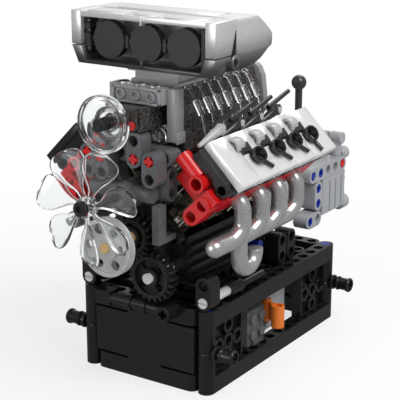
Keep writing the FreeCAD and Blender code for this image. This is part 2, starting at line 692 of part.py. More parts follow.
def pipe(name, points, bend, radius):
    """A solid round tube along a bent wire."""
    path = bent_wire(points, bend)
    start = Vec(*points[0])
    section = Part.Wire(Part.Circle(start, Vec(*points[1]) - start, radius).toShape())
    thing = doc.addObject("Part::Feature", name)
    thing.Shape = path.makePipeShell([section], True, False)
    return thing


def exhaust():
    step, up = size("pitch"), size("crank_up")
    radius, reach = size("pipe_radius"), math.sqrt(0.5)
    centre = size("bank_front") + 20
    out, high = 1.95 * step + 0.05, (size("deck_up") + size("head_up")) / 2
    exit_x, exit_z = (high + out) * reach, up + (high - out) * reach
    line_x, line_z = 4.85 * step, 8.9 * step
    pipes = []
    for number in range(4):
        y = centre + number * size("bore_step")
        slope = 0.9 * step * reach
        points = ((exit_x, y, exit_z), (exit_x + slope, y, exit_z - slope),
                  (exit_x + slope, y, exit_z - slope - 1.3 * step),
                  (line_x, y - 1.75 * step, line_z))
        pipes.append(pipe("header_%d" % number, points, 1.05 * step, radius))
    front, rear = centre - 2.2 * step, centre + 3 * size("bore_step") - 0.3 * step
    log = rod("collector_log", (4.85, "%.3f" % front, 8.9), "y", "%.3f" % (rear - front),
              "dims.collector_radius")
    nose = ball("collector_nose", (4.85, "%.3f" % front, 8.9), "dims.collector_radius")
    tail_y = centre + 0.3 * step
    tail = pipe("tail", ((line_x, tail_y, line_z), (line_x, tail_y, 6.6 * step + radius),
                         (line_x, tail_y + 1.8 * step, 6.6 * step + radius),
                         (line_x, tail_y + 1.8 * step, 7.9 * step)), 0.85 * step, radius)
    collector = fuse("collector", log, nose, tail)
    for number, tube in enumerate(pipes):
        pipes[number] = cut("header_cut_%d" % number, tube, collector)
    group("exhaust_headers_right", *pipes)
    group("exhaust_headers_left", *[mirror(tube, ACROSS) for tube in pipes])
    group("exhaust_collectors", collector, mirror(collector, ACROSS))


# ---- front drive ------------------------------------------------------------
FAN_UP, DISH_UP = "11.7 * dims.pitch", "15.85 * dims.pitch"


def crank_pulley():
    rim, bore = "dims.pulley_radius", "dims.hole_radius"
    profile = ((bore, "0"), (rim, "0"), (rim, "0.9"), ("dims.pulley_radius - 1.5", "2.2"),
               (rim, "3.5"), (rim, "4.4"), ("dims.pulley_radius - 1.8", "4.4"),
               ("dims.pulley_radius - 1.8", "3"), ("6", "3"), ("6", "4.4"), (bore, "4.4"))
    wheel = turned("pulley", profile)
    hole = sketch(wheel, "XY_Plane", "hole")
    circle(hole, ("(6 + dims.pulley_radius - 1.8) / 2 + 0.1", "0"), "2.2")
    spin(wheel, pocket(wheel, hole), hole, "6")
    put(wheel, (0, "-10.95 * dims.pitch + 4.4", CRANK), Turn(Vec(1, 0, 0), 90))
    node(wheel, "crank_pulley")


def gear(name, teeth, aim, at):
    """Spur gear on a Y axle: a bevelled blank, gaps cut round it, and a raised front ring."""
    outer, root = "%s * dims.gear_step / 2 + dims.gear_step" % teeth, "%s * dims.gear_step / 2 - 1.25 * dims.gear_step" % teeth
    rim, bore, thick = "%s - 1.6" % root, "dims.hole_radius", "dims.gear_thick"
    profile = ((bore, "-1"), ("4", "-1"), ("4", "1.6"), (rim, "1.6"), (rim, "-0.8"), (root, "-0.8"),
               (root, "0"), ("%s - 0.5" % outer, "0"), (outer, "0.9"), (outer, "%s - 0.9" % thick),
               ("%s - 0.5" % outer, thick), (root, thick), (rim, thick), (rim, "3.6"), ("4", "3.6"),
               ("4", thick), (bore, thick))
    wheel = turned(name + "_blank", profile)
    space = sketch(wheel, "XY_Plane", "tooth_space")
    pitch_r = "%s * dims.gear_step / 2" % teeth
    low, high = "0.5 * dims.gear_step", "1.3 * dims.gear_step"
    outline(space, ((root, "-(%s)" % low), ("%s + 1.1 * dims.gear_step" % pitch_r, "-(%s)" % high),
                    ("%s + 1.1 * dims.gear_step" % pitch_r, high), (root, low)))
    spin(wheel, pocket(wheel, space), space, teeth)
    windows = sketch(wheel, "XY_Plane", "window")
    circle(windows, ("(%s + 4) / 2" % rim, "0"), "(%s - 4) / 2 - 0.2" % rim)
    spin(wheel, pocket(wheel, windows), windows, "4")
    put(wheel, at, Turn(Vec(1, 0, 0), -90).multiply(Turn(Vec(0, 0, 1), aim)))
    return node(wheel, name)


def drive_gears():
    reach = (size("upper_teeth") + size("lower_teeth")) * size("gear_step") / 2
    side = 1.2 * size("pitch")
    aim = math.degrees(math.atan2(math.sqrt(reach ** 2 - side ** 2), side))
    gear("crank_gear", "dims.upper_teeth", aim, (0, -8.45, CRANK))
    gear("lower_gear", "dims.lower_teeth", aim + 180 - 180 / size("lower_teeth"),
         (1.2, -8.45, LOWER))
    shaft = rod("lower_gear_shaft", (1.2, -8.8, LOWER), "y",
                "8.8 * dims.pitch + %s" % cylinder_at(0, -0.85))
    node(shaft, "lower_gear_axle")


def fan():
    """Seven petal blades, each an arc-sided outline, set at an angle on the drum."""
    blade = body("fan_blade")
    sk = sketch(blade, "XY_Plane", "petal")
    tip, thick = "dims.fan_radius", "dims.blade_thick"
    outline(sk, (("3.4", "-1.3"), ("%s * 0.3" % tip, "-1.9"), ("%s * 0.45" % tip, "-4.2"),
                 ("%s * 0.6" % tip, "-6.2"), ("%s * 0.76" % tip, "-7"), ("%s * 0.9" % tip, "-6.2"),
                 ("%s * 0.98" % tip, "-3.6"), (tip, "-0.6"), ("%s * 0.97" % tip, "2.2"),
                 ("%s * 0.88" % tip, "4.4"), ("%s * 0.72" % tip, "5"), ("%s * 0.55" % tip, "4"),
                 ("%s * 0.4" % tip, "2.4"), ("3.4", "1.3")))
    pad(blade, sk, thick, midplane=True)
    blades = []
    lean = Turn(Vec(1, 0, 0), 55)
    for number in range(int(size("blade_count"))):
        aim = Turn(Vec(0, 1, 0), 360 * number / size("blade_count") - 13)
        blades.append(copy(blade, (0, -12.4, FAN_UP), aim.multiply(lean)))
    drum = rod("fan_drum", (0, -12.75, FAN_UP), "y", 0.7, 0.55)
    hole = rod("fan_bore", (0, -13, FAN_UP), "y", 1.2, "dims.hole_radius")
    node(cut("fan_wheel", fuse("fan_solid", drum, *blades), hole), "fan")
    shaft = rod("fan_shaft", (0, -12.95, FAN_UP), "y", 4.45)
    cap = rod("fan_cap", (0, -13.05, FAN_UP), "y", 0.3, 0.4)
    dent = rod("fan_dent", (0, -13.1, FAN_UP), "y", 0.2, 0.2)
    node(cut("fan_hub_solid", fuse("fan_hub_fuse", shaft, cap), dent), "fan_hub")


def dish_pulley():
    edge, bore = "dims.dish_radius", "dims.hole_radius"
    profile = ((bore, "2"), ("4.4", "2"), ("4.4", "6"), ("9", "7.4"), ("%s - 1.4" % edge, "9.6"),
               ("%s - 0.8" % edge, "10.4"), (edge, "10.4"), (edge, "9.2"), ("%s - 1" % edge, "8.2"),
               (edge, "7.2"), (edge, "6.2"), ("%s - 2" % edge, "6"), ("8", "4.6"), ("5.4", "3.2"),
               ("5", "0"), (bore, "0"))
    dish = turned("dish", profile)
    put(dish, (0, -9.42, DISH_UP), Turn(Vec(1, 0, 0), 90))
    node(dish, "dish_pulley")
    shaft = rod("dish_shaft", (0, -11.35, DISH_UP), "y", 3.35)
    collars = [rod("dish_collar", (0, y, DISH_UP), "y", 0.16, 0.36) for y in (-11.3, -11.0, -10.7)]
    node(fuse("dish_axle_solid", shaft, *collars), "dish_axle")


COLUMN_Y = -8.65


def front_frame():
    two = beam("front_two", 2)
    columns = [copy(two, (x, COLUMN_Y, z), UPRIGHT)
               for x, z in ((1.68, 12.65), (0.66, 13.65), (-1.5, 12.65), (-2.5, 12.65))]
    cross = copy(beam("front_five", 5), (-2, COLUMN_Y + 1, 13.65), Turn(Vec(1, 0, 0), -90))
    rear_leg = copy(beam("rear_leg", 2), (1.68, COLUMN_Y + 1, 11.65), UPRIGHT_SIDE)
    post = box("front_post", (1.72, -8.95, 8.95), (2.17, -8.25, 11.15))
    foot = box("front_foot", (1.72, -8.25, 8.95), (2.17, -7.32, 9.3))
    group("front_beams", *columns, cross, fuse("front_leg", post, foot), rear_leg)

    hub = rod("arm_hub", (0, -9.9, FAN_UP), "y", 1.95, 0.62)
    boss = rod("arm_boss", (0.08, -9.35, 11.45), "y", 1.1, 0.72)
    reach = rod("arm_bar", (-2.3, -8.65, 11.66), "x", 3.95, 0.46)
    knuckle = rod("arm_knuckle", (1.25, -8.65, 11.66), "x", 0.3, 0.49)
    end = ball("arm_end", (-2.3, -8.65, 11.66), 0.46)
    bore = rod("arm_bore", (0, -10, FAN_UP), "y", 3, "dims.hole_radius")
    arm = cut("arm", fuse("arm_solid", hub, boss, reach, knuckle, end), bore)
    node(arm, "front_arm")

    shaft = axle("red_axle", 1.03)
    red = [copy(shaft, (x, COLUMN_Y - 0.53, 13.65), ALONG["y"]) for x in (1.68, 0.66, -1.5, -2.5)]
    snout_axle = rod("snout_pin", (0.62, -9.27, 15.5), "y", 1.3, 0.25)
    box_axle = copy(axle("box_axle", "dims.beam_width"), ("dims.gear_side - dims.beam_width + 0.3", 10.95, 9.35),
                    ALONG["x"])
    group("red_axles", *red, snout_axle, box_axle, mirror(box_axle, ACROSS))


# ---- supercharger and scoop ---------------------------------------------------
CASE_END = "dims.case_front + dims.case_length"


def supercharger():
    rotor = ((-2.0, 13.15), (2.0, 13.15), (2.3, 13.8), (1.9, 16.2), (1.55, 17.2), (-1.55, 17.2),
             (-1.9, 16.2), (-2.3, 13.8))
    case = prism("blower", rotor, "dims.case_length")
    put(case, (0, "dims.case_front + dims.case_length / 2", 0))
    snout = box("snout", (-0.9, -9.2, 15.25), (0.9, "dims.case_front", 16.4))
    fins = [box("snout_fin", (x, -9.0, 15.16), (x + 0.2, "dims.case_front", 16.45))
            for x in (-1.1, 0.9)]
    bore = rod("snout_bore", (0, -10, DISH_UP), "y", 3, "dims.hole_radius")
    side_bore = rod("snout_side_bore", (0.62, -9.3, 15.5), "y", 1.4, "0.25 * dims.pitch + dims.pin_gap")
    node(cut("blower_case", fuse("blower_solid", case, snout, *fins), bore, side_bore), "supercharger_case")

    # clear ribs: a flat wide head outside, a thin stem and a small foot
    ribs = []
    rib_plan = ((1.62, 17.2), (1.95, 17.2), (2.75, 15.9), (2.6, 15.6), (2.85, 14.9), (3.1, 14.2),
                (2.95, 13.95), (2.6, 14.1), (2.5, 14.9), (2.2, 15.5), (1.98, 16.2))
    rib = prism("rib", rib_plan, 0.22)
    for number in range(7):
        ribs.append(copy(rib, (0, "dims.case_front + 7 + %d * dims.pitch" % number, 0)))
    domes = [rod("dome", (x, -7.6, 17.36), "z", 0.22, 0.32) for x in (-1, 0, 1)]
    block = rod("clear_block", (1.1, "dims.case_front - 7", 14.65), "y", "6.9", 0.5)
    group("case_ribs", *ribs, *[mirror(piece, ACROSS) for piece in ribs], *domes, block)

    frame = box("pad_frame", (-1.5, -8.1, 16.46), (1.65, -7.1, 17.36))
    tray = box("pad_tray", (-1.38, -8.2, 16.58), (1.53, -7.98, 17.24))
    studs = [rod("pad_stud", (x, -8.12, 16.9), "y", 0.2, 0.24) for x in (-0.95, 0.05, 1.05)]
    pad_solid = fuse("front_pad", cut("pad_open", frame, tray), *studs)
    brace = prism("brace", ((1.66, 14.4), (2.2, 14.4), (2.2, 17.3), (1.66, 17.3)), 0.9)
    put(brace, (0, "dims.case_front - 4", 0))
    closing = prism("end_plate", ((-2.6, 13.3), (2.6, 13.3), (2.9, 14.2), (2.2, 16.6), (1.7, 17.3),
                    (-1.7, 17.3), (-2.2, 16.6), (-2.9, 14.2)), 0.5)
    put(closing, (0, CASE_END + " + 2", 0))
    group("supercharger_brackets", pad_solid, brace, mirror(brace, ACROSS), closing)


def scoop():
    half, top = "dims.scoop_half", "dims.scoop_top"
    shape = (("-%s + 3.6" % half, "%s - 23.7" % top), ("%s - 3.6" % half, "%s - 23.7" % top),
             (half, "%s - 15.6" % top), (half, "%s - 1" % top), ("%s - 1" % half, top),
             ("-%s + 1" % half, top), ("-%s" % half, "%s - 1" % top), ("-%s" % half, "%s - 15.6" % top))
    inside = (("-%s + 6.8" % half, "%s - 22" % top), ("%s - 6.8" % half, "%s - 22" % top),
              ("%s - 5" % half, "%s - 15" % top), ("%s - 5" % half, "%s - 2.4" % top),
              ("-%s + 5" % half, "%s - 2.4" % top), ("-%s + 5" % half, "%s - 15" % top))
    outer = prism("scoop_outer", shape, 6.2)
    put(outer, (0, -4.3, 0))
    hollow = prism("scoop_hollow", inside, 3)
    put(hollow, (0, -6.4, 0))
    slope = prism("scoop_slope", ((-1.2, "%s + 1" % top), (-1.2, "%s - 9" % top), (-3.3, "%s + 1" % top)),
                  12, "YZ_Plane")
    wedge = prism("scoop_wedge", ((-5.75, "%s - 5" % top), (-5.45, "%s - 15.2" % top),
                  (-5.95, "%s - 15.2" % top)), 12, "YZ_Plane")
    core = box("scoop_core", (-4.4, -6.5, 17), (4.4, -1, 22))
    slit = cut("scoop_slit", wedge, core)
    node(cut("scoop", outer, hollow, slope, slit), "scoop_shell")

    # dark inner housing with the bores of the throttle spindle
    fit = tuple((x.replace("6.8", "6.9").replace("+ 5", "+ 5.1").replace("- 5", "- 5.1"), z)
                for x, z in inside)
    back = prism("liner_back", fit, 0.5)
    put(back, (0, -5.2, 0))
    cheeks = [box("liner_cheek", (x, -7.1, 18.8), (x + 0.3, -5.4, 20.6)) for x in (-4.0, 3.7)]
    spindle = rod("spindle_bore", (-4.3, -6.75, 19.55), "x", 8.6, "0.2 * dims.pitch + dims.pin_gap")
    webs = [box("liner_web", (x - 0.1, -7.0, 19.2), (x + 0.1, -5.4, 19.9)) for x in (-1.25, 1.25)]
    node(cut("liner", fuse("liner_solid", back, *cheeks, *webs), spindle), "scoop_liner")
    discs = [rod("disc", (x, -7.0, 19.55), "y", 0.5, "dims.disc_radius") for x in (-2.5, 0, 2.5)]
    bar = rod("spindle", (-3.95, -6.75, 19.55), "x", 7.9, 0.2)
    node(fuse("throttle", *discs, bar), "throttle_discs")

    steps = [box("neck_step", (-1.75, -6.3, 17.85), (1.75, -1.5, "dims.scoop_top - 23.7")),
             box("neck_step", (-1.45, -6.0, 17.38), (1.45, -1.8, 17.85)),
             box("neck_foot", (-1.6, -6.2, 17.2), (1.6, -1.6, 17.38))]
    node(fuse("neck", *steps), "scoop_neck")


# ---- gearbox ------------------------------------------------------------------
def gearbox():
    start, stop = "dims.box_front", "dims.box_front + dims.box_length"
    half = "dims.box_half"
    case = box("gear_case", ("-" + half, start, 7.0), (half, stop, 9.9))
    lid = box("gear_lid", ("-%s + 8" % half, "%s + 2" % start, 9.9),
              ("%s - 8" % half, "%s - 2" % stop, 10.4))
    bell = prism("bell", ((-1.9, 6.6), (1.9, 6.6), (2.3, 8), (1.6, 9.1), (-1.6, 9.1), (-2.3, 8)),
                 "dims.box_front - (%s)" % cylinder_at(3, 1.2))
    put(bell, (0, "(dims.box_front + %s) / 2" % cylinder_at(3, 1.2), 0))
    tail = rod("tail_boss", (0, stop, 8.3), "y", 0.6, 0.8)
    bore = rod("tail_bore", (0, "%s - 16" % stop, 8.3), "y", 4, "dims.hole_radius")
    inner = rod("bell_bore", (0, cylinder_at(3, 1.1), CRANK), "y", 3, "dims.hole_radius + 0.4")
    well = rod("lever_socket", (-0.5, 10.2, 10.2), "x", 1, "dims.lever_ball * 0.75 + 0.3")
    node(cut("gear_housing", fuse("gear_solid", case, lid, bell, tail), bore, inner, well),
         "gearbox_case")

    tower = prism("side_ribs", (("dims.box_half", 6.4), ("dims.gear_side", 6.4),
                                ("dims.gear_side", 8.85), ("dims.box_half", 8.85)), 3.1)
    put(tower, (0, 9.8, 0))
    grooves = [box("side_groove", ("dims.gear_side - 0.6", y, 6.3), ("dims.gear_side + 1", y + 0.14, 8.5))
               for y in (9.2, 10.0, 10.8)]
    panel = cut("ribbed_side", tower, *grooves)
    middle = "dims.gear_side - dims.beam_width / 2"
    top = copy(beam("gear_top", 5), (middle, 6.95, 9.35), LENGTHWISE_SIDE)
    side = copy(beam("gear_side_beam", 2), (middle, 7.7, 7.36), UPRIGHT_SIDE)
    low = copy(beam("gear_low", 2), (middle, 6.65, 6.36), LENGTHWISE_SIDE)
    foot = rod("rear_foot", (middle, 11.36, 6.45), "y", 0.75, 0.5)
    posts = [rod("top_post", (1.6, 10.6, 9.9), "z", 1.2, 0.42), rod("low_post", (1.5, 9.2, 9.9), "z", 0.55, 0.42)]
    elbow = rod("top_elbow", (0.9, 10.6, 11.1), "x", 1.15, 0.4)
    bulb = fuse("top_bulb", rod("bulb_neck", (1.6, stop, 9.5), "y", 0.5, 0.2),
                ball("bulb_end", (1.6, "%s + 4.4" % stop, 9.5), 0.42))
    cap = fuse("top_fitting", *posts, elbow)
    knob = fuse("rear_knob", rod("knob_bush", (1.5, stop, 8.1), "y", 0.3, 0.47),
                rod("knob_neck", (1.5, stop, 8.1), "y", 0.55, 0.36),
                copy(axle("knob_axle", 0.5), (1.5, "%s + 4" % stop, 8.1), ALONG["y"]))
    pieces = [panel, top, side, low, foot, cap, bulb, knob]
    group("gearbox_beams", *pieces, *[mirror(piece, ACROSS) for piece in pieces])

    shaft = rod("output", (0, "%s - 10" % stop, 8.3), "y", "13 * dims.pitch + 10 - (%s)" % stop)
    flange = rod("output_flange", (0, 12.65, 8.3), "y", 0.4, 0.7)
    node(fuse("output_solid", shaft, flange), "output_shaft")

    stem = rod("lever_stem", (0, 10.2, 10.2), "z", 4.2, 0.24)
    grip = ball("lever_grip", (0, 10.2, 14.6), "dims.lever_ball")
    root = rod("lever_root", (-0.46, 10.2, 10.2), "x", 0.92, "dims.lever_ball * 0.75")
    node(fuse("lever_whole", stem, grip, root), "gear_lever")


def finish():
    doc.recompute()
    for thing in doc.Objects:
        if "Invalid" in thing.State or "Error" in thing.State:
            raise ValueError("%s failed: %s" % (thing.Name, thing.State))
    os.makedirs("parts", exist_ok=True)
    for thing in nodes:
        shape = Part.getShape(thing)
        if shape.isNull() or not shape.isValid():
            raise ValueError("%s has no valid shape" % thing.Label)
        shape.exportStep("parts/%s.step" % thing.Label)


def main():
    fill_sheet()
    stand()
    stand_fittings()
    crankcase()
    crankshaft()
    for side in ("right", "left"):
        for number in range(4):
            piston(number, side)
    banks()
    exhaust()
    crank_pulley()
    drive_gears()
    fan()
    dish_pulley()
    front_frame()
    supercharger()
    scoop()
    gearbox()
    finish()


main()
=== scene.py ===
# %% [markdown]
# # A model V8 on its stand
# The object is a display model of a supercharged V8 engine, put together from
# plastic beams, pins and axles on an 8 mm grid. Its construction comes in as a
# fixed frame in metres: every CAD node keeps its place and its shape. What this
# file adds is the finish of each kind of plastic and the moulded pieces whose
# soft edges and curves a plain solid does not show.

import math

import bmesh
import bpy
from mathutils import Matrix, Vector


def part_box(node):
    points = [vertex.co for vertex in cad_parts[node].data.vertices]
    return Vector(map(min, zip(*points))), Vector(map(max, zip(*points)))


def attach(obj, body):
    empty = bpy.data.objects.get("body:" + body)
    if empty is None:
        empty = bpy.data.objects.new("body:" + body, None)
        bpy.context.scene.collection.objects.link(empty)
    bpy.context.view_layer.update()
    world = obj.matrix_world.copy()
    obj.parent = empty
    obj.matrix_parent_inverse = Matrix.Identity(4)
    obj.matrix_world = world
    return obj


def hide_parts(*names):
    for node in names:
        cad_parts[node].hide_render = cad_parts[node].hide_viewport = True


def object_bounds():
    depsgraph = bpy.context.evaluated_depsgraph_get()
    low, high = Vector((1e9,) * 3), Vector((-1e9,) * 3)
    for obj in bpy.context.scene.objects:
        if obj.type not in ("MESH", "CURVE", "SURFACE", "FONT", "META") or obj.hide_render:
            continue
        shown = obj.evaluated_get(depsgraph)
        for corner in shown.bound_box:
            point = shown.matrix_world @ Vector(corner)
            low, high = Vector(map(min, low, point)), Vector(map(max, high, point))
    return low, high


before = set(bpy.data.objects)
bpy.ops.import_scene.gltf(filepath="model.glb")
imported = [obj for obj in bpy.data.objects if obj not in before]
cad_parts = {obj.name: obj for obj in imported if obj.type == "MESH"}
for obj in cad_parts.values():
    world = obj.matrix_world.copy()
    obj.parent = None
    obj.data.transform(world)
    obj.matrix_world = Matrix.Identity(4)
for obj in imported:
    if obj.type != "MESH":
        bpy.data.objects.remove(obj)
cad_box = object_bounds()
scene = bpy.context.scene
PITCH = 0.008            # hole to hole, the grid of every beam
print("size in mm:", [round(1000 * s) for s in cad_box[1] - cad_box[0]])

# %% [markdown]
# ## Camera
# A long lens from a little above, swung to the front corner, so that the fan,
# one bank with its exhaust and the orange switch all face the viewer.

# %% Camera
AIM = Vector((-0.00875, 0.0, 0.0706))
DISTANCE = 0.6173
AZIMUTH, ELEVATION = math.radians(33.552), math.radians(16.555)
LENS, SENSOR = 113.0, 36.0


def toward(azimuth, elevation):
    """The direction from the model to a point seen at these angles."""
    flat = math.cos(elevation)
    return Vector((math.sin(azimuth) * flat, -math.cos(azimuth) * flat, math.sin(elevation)))


camera = bpy.data.objects.new("camera", bpy.data.cameras.new("camera"))
scene.collection.objects.link(camera)
scene.camera = camera
camera.data.lens = LENS
camera.data.sensor_width = SENSOR
camera.location = AIM + DISTANCE * toward(AZIMUTH, ELEVATION)
camera.rotation_mode = "QUATERNION"
camera.rotation_quaternion = (-toward(AZIMUTH, ELEVATION)).to_track_quat("-Z", "Y")
camera.data.clip_start, camera.data.clip_end = 0.01, 20.0

# %% [markdown]
# ## Shader sums
# A finish is a handful of small sums: a mask times an amount, one colour mixed
# into another. Written as nodes they are a page of wiring, so one class wraps a
# socket and lets plain Python operators add the Math nodes. Two more helpers
# give a place on the object and lay a finished colour into a material.

# %% Shader helper
class Wire:
    """A socket of a node tree that can be added, multiplied and fed onwards."""

    def __init__(self, tree, socket):
        self.tree, self.socket = tree, socket

    def node(self, kind, settings=(), output=0, **sockets):
        """Adds a node: its settings, then its sockets, by name (spaces as _) or as _0, _1."""
        made = self.tree.nodes.new(kind)
        for key, value in dict(settings).items():
            setattr(made, key, value)
        for key, value in sockets.items():
            key = int(key[1:]) if key[1:].isdigit() else key.replace("_", " ")
            if isinstance(value, Wire):
                self.tree.links.new(value.socket, made.inputs[key])
            else:
                made.inputs[key].default_value = value
        return Wire(self.tree, made.outputs[output])

    def maths(self, operation, first, second=0.0):
        return self.node("ShaderNodeMath", {"operation": operation}, _0=first, _1=second)

    def __add__(self, other): return self.maths("ADD", self, other)
    __radd__ = __add__
    def __mul__(self, other): return self.maths("MULTIPLY", self, other)
    __rmul__ = __mul__
    def __sub__(self, other): return self.maths("SUBTRACT", self, other)
    def __rsub__(self, other): return self.maths("SUBTRACT", other, self)

    def step(self, low, high):
        """0 below low, 1 above high, and smooth between."""
        return self.node("ShaderNodeMapRange", {"interpolation_type": "SMOOTHSTEP"},
                         Value=self, From_Min=low, From_Max=high)

    def blend(self, first, second):
        """Mixes two colours by this value."""
        return self.node("ShaderNodeMix", {"data_type": "RGBA"}, output=2,
                         _0=self, _6=first, _7=second)


def object_place(tree):
    """Where a shaded point lies on its object."""
    return Wire(tree, None).node("ShaderNodeTexCoord", output=3)


def set_base(material, tint):
    """Feeds a colour into a material's base colour."""
    tree = material.node_tree
    tree.links.new(tint.socket, tree.nodes["Principled BSDF"].inputs["Base Color"])


def colour(red, green, blue):
    return (red, green, blue, 1.0)


def tone(shade, factor):
    """A shade made lighter or darker."""
    return tuple(min(1.0, part * factor) for part in shade[:3]) + (1.0,)

# %% [markdown]
# ## Moulded plastic
# Every piece is injection moulded. Such a surface is nearly smooth, with a very
# fine satin grain, slow waves where it cooled, and an edge rounded by about a
# quarter of a millimetre that catches the light. The edge comes from a Bevel
# node, which rounds the shading and leaves the CAD mesh as it is.

# %% Moulded plastic
EDGE = 0.00028           # the moulded edge's radius
BLACK_EDGE = 0.00042     # wider on black, so that its edges still show
CLOUDS, SPECKS = 90.0, 2600.0              # noise scales of the waves and the grain
TINT_SPREAD = 0.07       # how far the clouds shift a colour either way


def finish_of(name, base, roughness, grain=0.05, waves=0.15, edge=EDGE, **shader):
    """A moulded plastic: base colour, gloss, fine grain and a softened edge."""
    made = bpy.data.materials.new(name)
    made.use_nodes = True
    tree = made.node_tree
    principled = tree.nodes["Principled BSDF"]
    start = Wire(tree, None)
    place = object_place(tree)
    cloud = start.node("ShaderNodeTexNoise", Vector=place, Scale=CLOUDS, Detail=2.0)
    speck = start.node("ShaderNodeTexNoise", Vector=place, Scale=SPECKS, Detail=1.0)
    shade = (cloud - 0.5) * 0.5 + 0.5
    tint = shade.blend(tone(base, 1.0 - TINT_SPREAD), tone(base, 1.0 + TINT_SPREAD))
    rough = (cloud - 0.5) * waves + (speck - 0.5) * grain + roughness
    rounded = start.node("ShaderNodeBevel", {"samples": 4}, Radius=edge)
    ripple = start.node("ShaderNodeBump", Strength=0.12, Distance=0.00002,
                        Height=speck + cloud * 2.0, Normal=rounded)
    set_base(made, tint)
    tree.links.new(rough.socket, principled.inputs["Roughness"])
    tree.links.new(ripple.socket, principled.inputs["Normal"])
    for key, value in shader.items():
        principled.inputs[key.replace("_", " ")].default_value = value
    return made


black = finish_of("black_plastic", colour(0.0095, 0.0095, 0.010), 0.25, edge=BLACK_EDGE)
gear_black = finish_of("gear_plastic", colour(0.012, 0.012, 0.013), 0.36)
disc_black = finish_of("disc_plastic", colour(0.030, 0.030, 0.031), 0.40)
charcoal = finish_of("charcoal_plastic", colour(0.098, 0.101, 0.107), 0.28)
lever_black = finish_of("lever_plastic", colour(0.040, 0.037, 0.039), 0.14)
# the liner's pale grey is painted light, raised to stand in for light reaching the shaded inside of
# the scoop
liner_grey = finish_of("liner_plastic", colour(0.66, 0.662, 0.67), 0.34)
tab_grey = finish_of("tab_plastic", colour(0.42, 0.425, 0.43), 0.26)
stone = finish_of("stone_grey_plastic", colour(0.36, 0.37, 0.385), 0.32)
pin_grey = finish_of("pin_grey_plastic", colour(0.52, 0.53, 0.54), 0.28)
bracket_grey = finish_of("bracket_grey_plastic", colour(0.27, 0.275, 0.285), 0.30)
piston_grey = finish_of("piston_plastic", colour(0.32, 0.33, 0.34), 0.34)
red = finish_of("red_plastic", colour(0.56, 0.008, 0.010), 0.24)
blue = finish_of("blue_plastic", colour(0.008, 0.030, 0.30), 0.25)
orange = finish_of("orange_plastic", colour(0.72, 0.17, 0.018), 0.30)
tan = finish_of("tan_plastic", colour(0.55, 0.36, 0.16), 0.34)
# the front edges inside the scoop are dark, and what lies deeper is painted pale, a painted light
# that stands in for light reaching the shaded interior
PAINTED_LIGHT_FROM, PAINTED_LIGHT_TO = -0.0530, -0.0515
depth = object_place(liner_grey.node_tree)
depth = depth.node("ShaderNodeSeparateXYZ", output=1, _0=depth).step(PAINTED_LIGHT_FROM, PAINTED_LIGHT_TO)
set_base(liner_grey, depth.blend(colour(0.03, 0.03, 0.031), colour(0.66, 0.662, 0.67)))

# %% [markdown]
# ## Pearl and silver
# The scoop, its neck, the valve covers and the pulley are moulded from plastic
# with metal flake in it. The flake lines up where the plastic flowed, which shows
# as faint streaks, so a stretched, bent noise shifts the colour and the gloss. The
# scoop's colour also has painted shade toward its foot, a painted reflection of the
# dark floor. The exhausts are an even silver.

# %% Pearl and silver
FLAKES = 5200.0          # scale of the cells that stand for the flake


def pearl_of(name, base, roughness, metallic, flow=(30.0, 60.0, 60.0), depth=0.10):
    """A metal-flake plastic with flow streaks."""
    made = finish_of(name, base, roughness, waves=0.03, Metallic=metallic)
    tree = made.node_tree
    start = Wire(tree, None)
    place = object_place(tree)
    long_way = start.node("ShaderNodeMapping", Vector=place, Scale=flow)
    streak = start.node("ShaderNodeTexNoise", Vector=long_way, Scale=1.0, Detail=4.0,
                        Distortion=1.6)
    flake = start.node("ShaderNodeTexVoronoi", Vector=place, Scale=FLAKES)
    mask = streak.step(0.32, 0.68)
    set_base(made, mask.blend(tone(base, 1.0 - depth), tone(base, 1.0 + depth)))
    rough = mask * -0.03 + flake * 0.04 + (roughness + 0.02)
    tree.links.new(rough.socket, tree.nodes["Principled BSDF"].inputs["Roughness"])
    return made


white_pearl = pearl_of("white_pearl_plastic", colour(0.82, 0.82, 0.825), 0.13, 0.30,
                       depth=0.01)
cup_black = finish_of("cup_plastic", colour(0.026, 0.026, 0.028), 0.22)
silver = finish_of("silver_plastic", colour(0.68, 0.685, 0.695), 0.28, waves=0.03,
                   Metallic=0.80)
scoop_silver = pearl_of("scoop_silver_plastic", colour(0.50, 0.505, 0.515), 0.26, 0.55,
                        flow=(22.0, 60.0, 60.0), depth=0.03)
# painted shade and a painted reflection of the dark floor: the scoop's colour goes from dark at its
# foot to pale above
SHADED_BELOW, LIT_ABOVE = 0.1465, 0.1635          # heights on the scoop's cheeks
painted_shade = object_place(scoop_silver.node_tree)
painted_shade = painted_shade.node("ShaderNodeSeparateXYZ", output=2, _0=painted_shade).step(SHADED_BELOW, LIT_ABOVE)
set_base(scoop_silver, painted_shade.blend(colour(0.06, 0.061, 0.064), colour(0.76, 0.765, 0.775)))
neck_silver = pearl_of("neck_silver_plastic", colour(0.52, 0.525, 0.535), 0.30, 0.35,
                       depth=0.03)
pulley_silver = pearl_of("pulley_silver_plastic", colour(0.50, 0.505, 0.51), 0.28, 0.35)

# %% [markdown]
# ## Clear plastic
# The fan, the dish pulley and the ribs of the supercharger are clear, and the
# cylinder blocks are a smoky grey brown. Light goes through them and bends, so
# they are real transmission, almost smooth.

# %% Clear plastic
CLEAR_IOR = 1.49


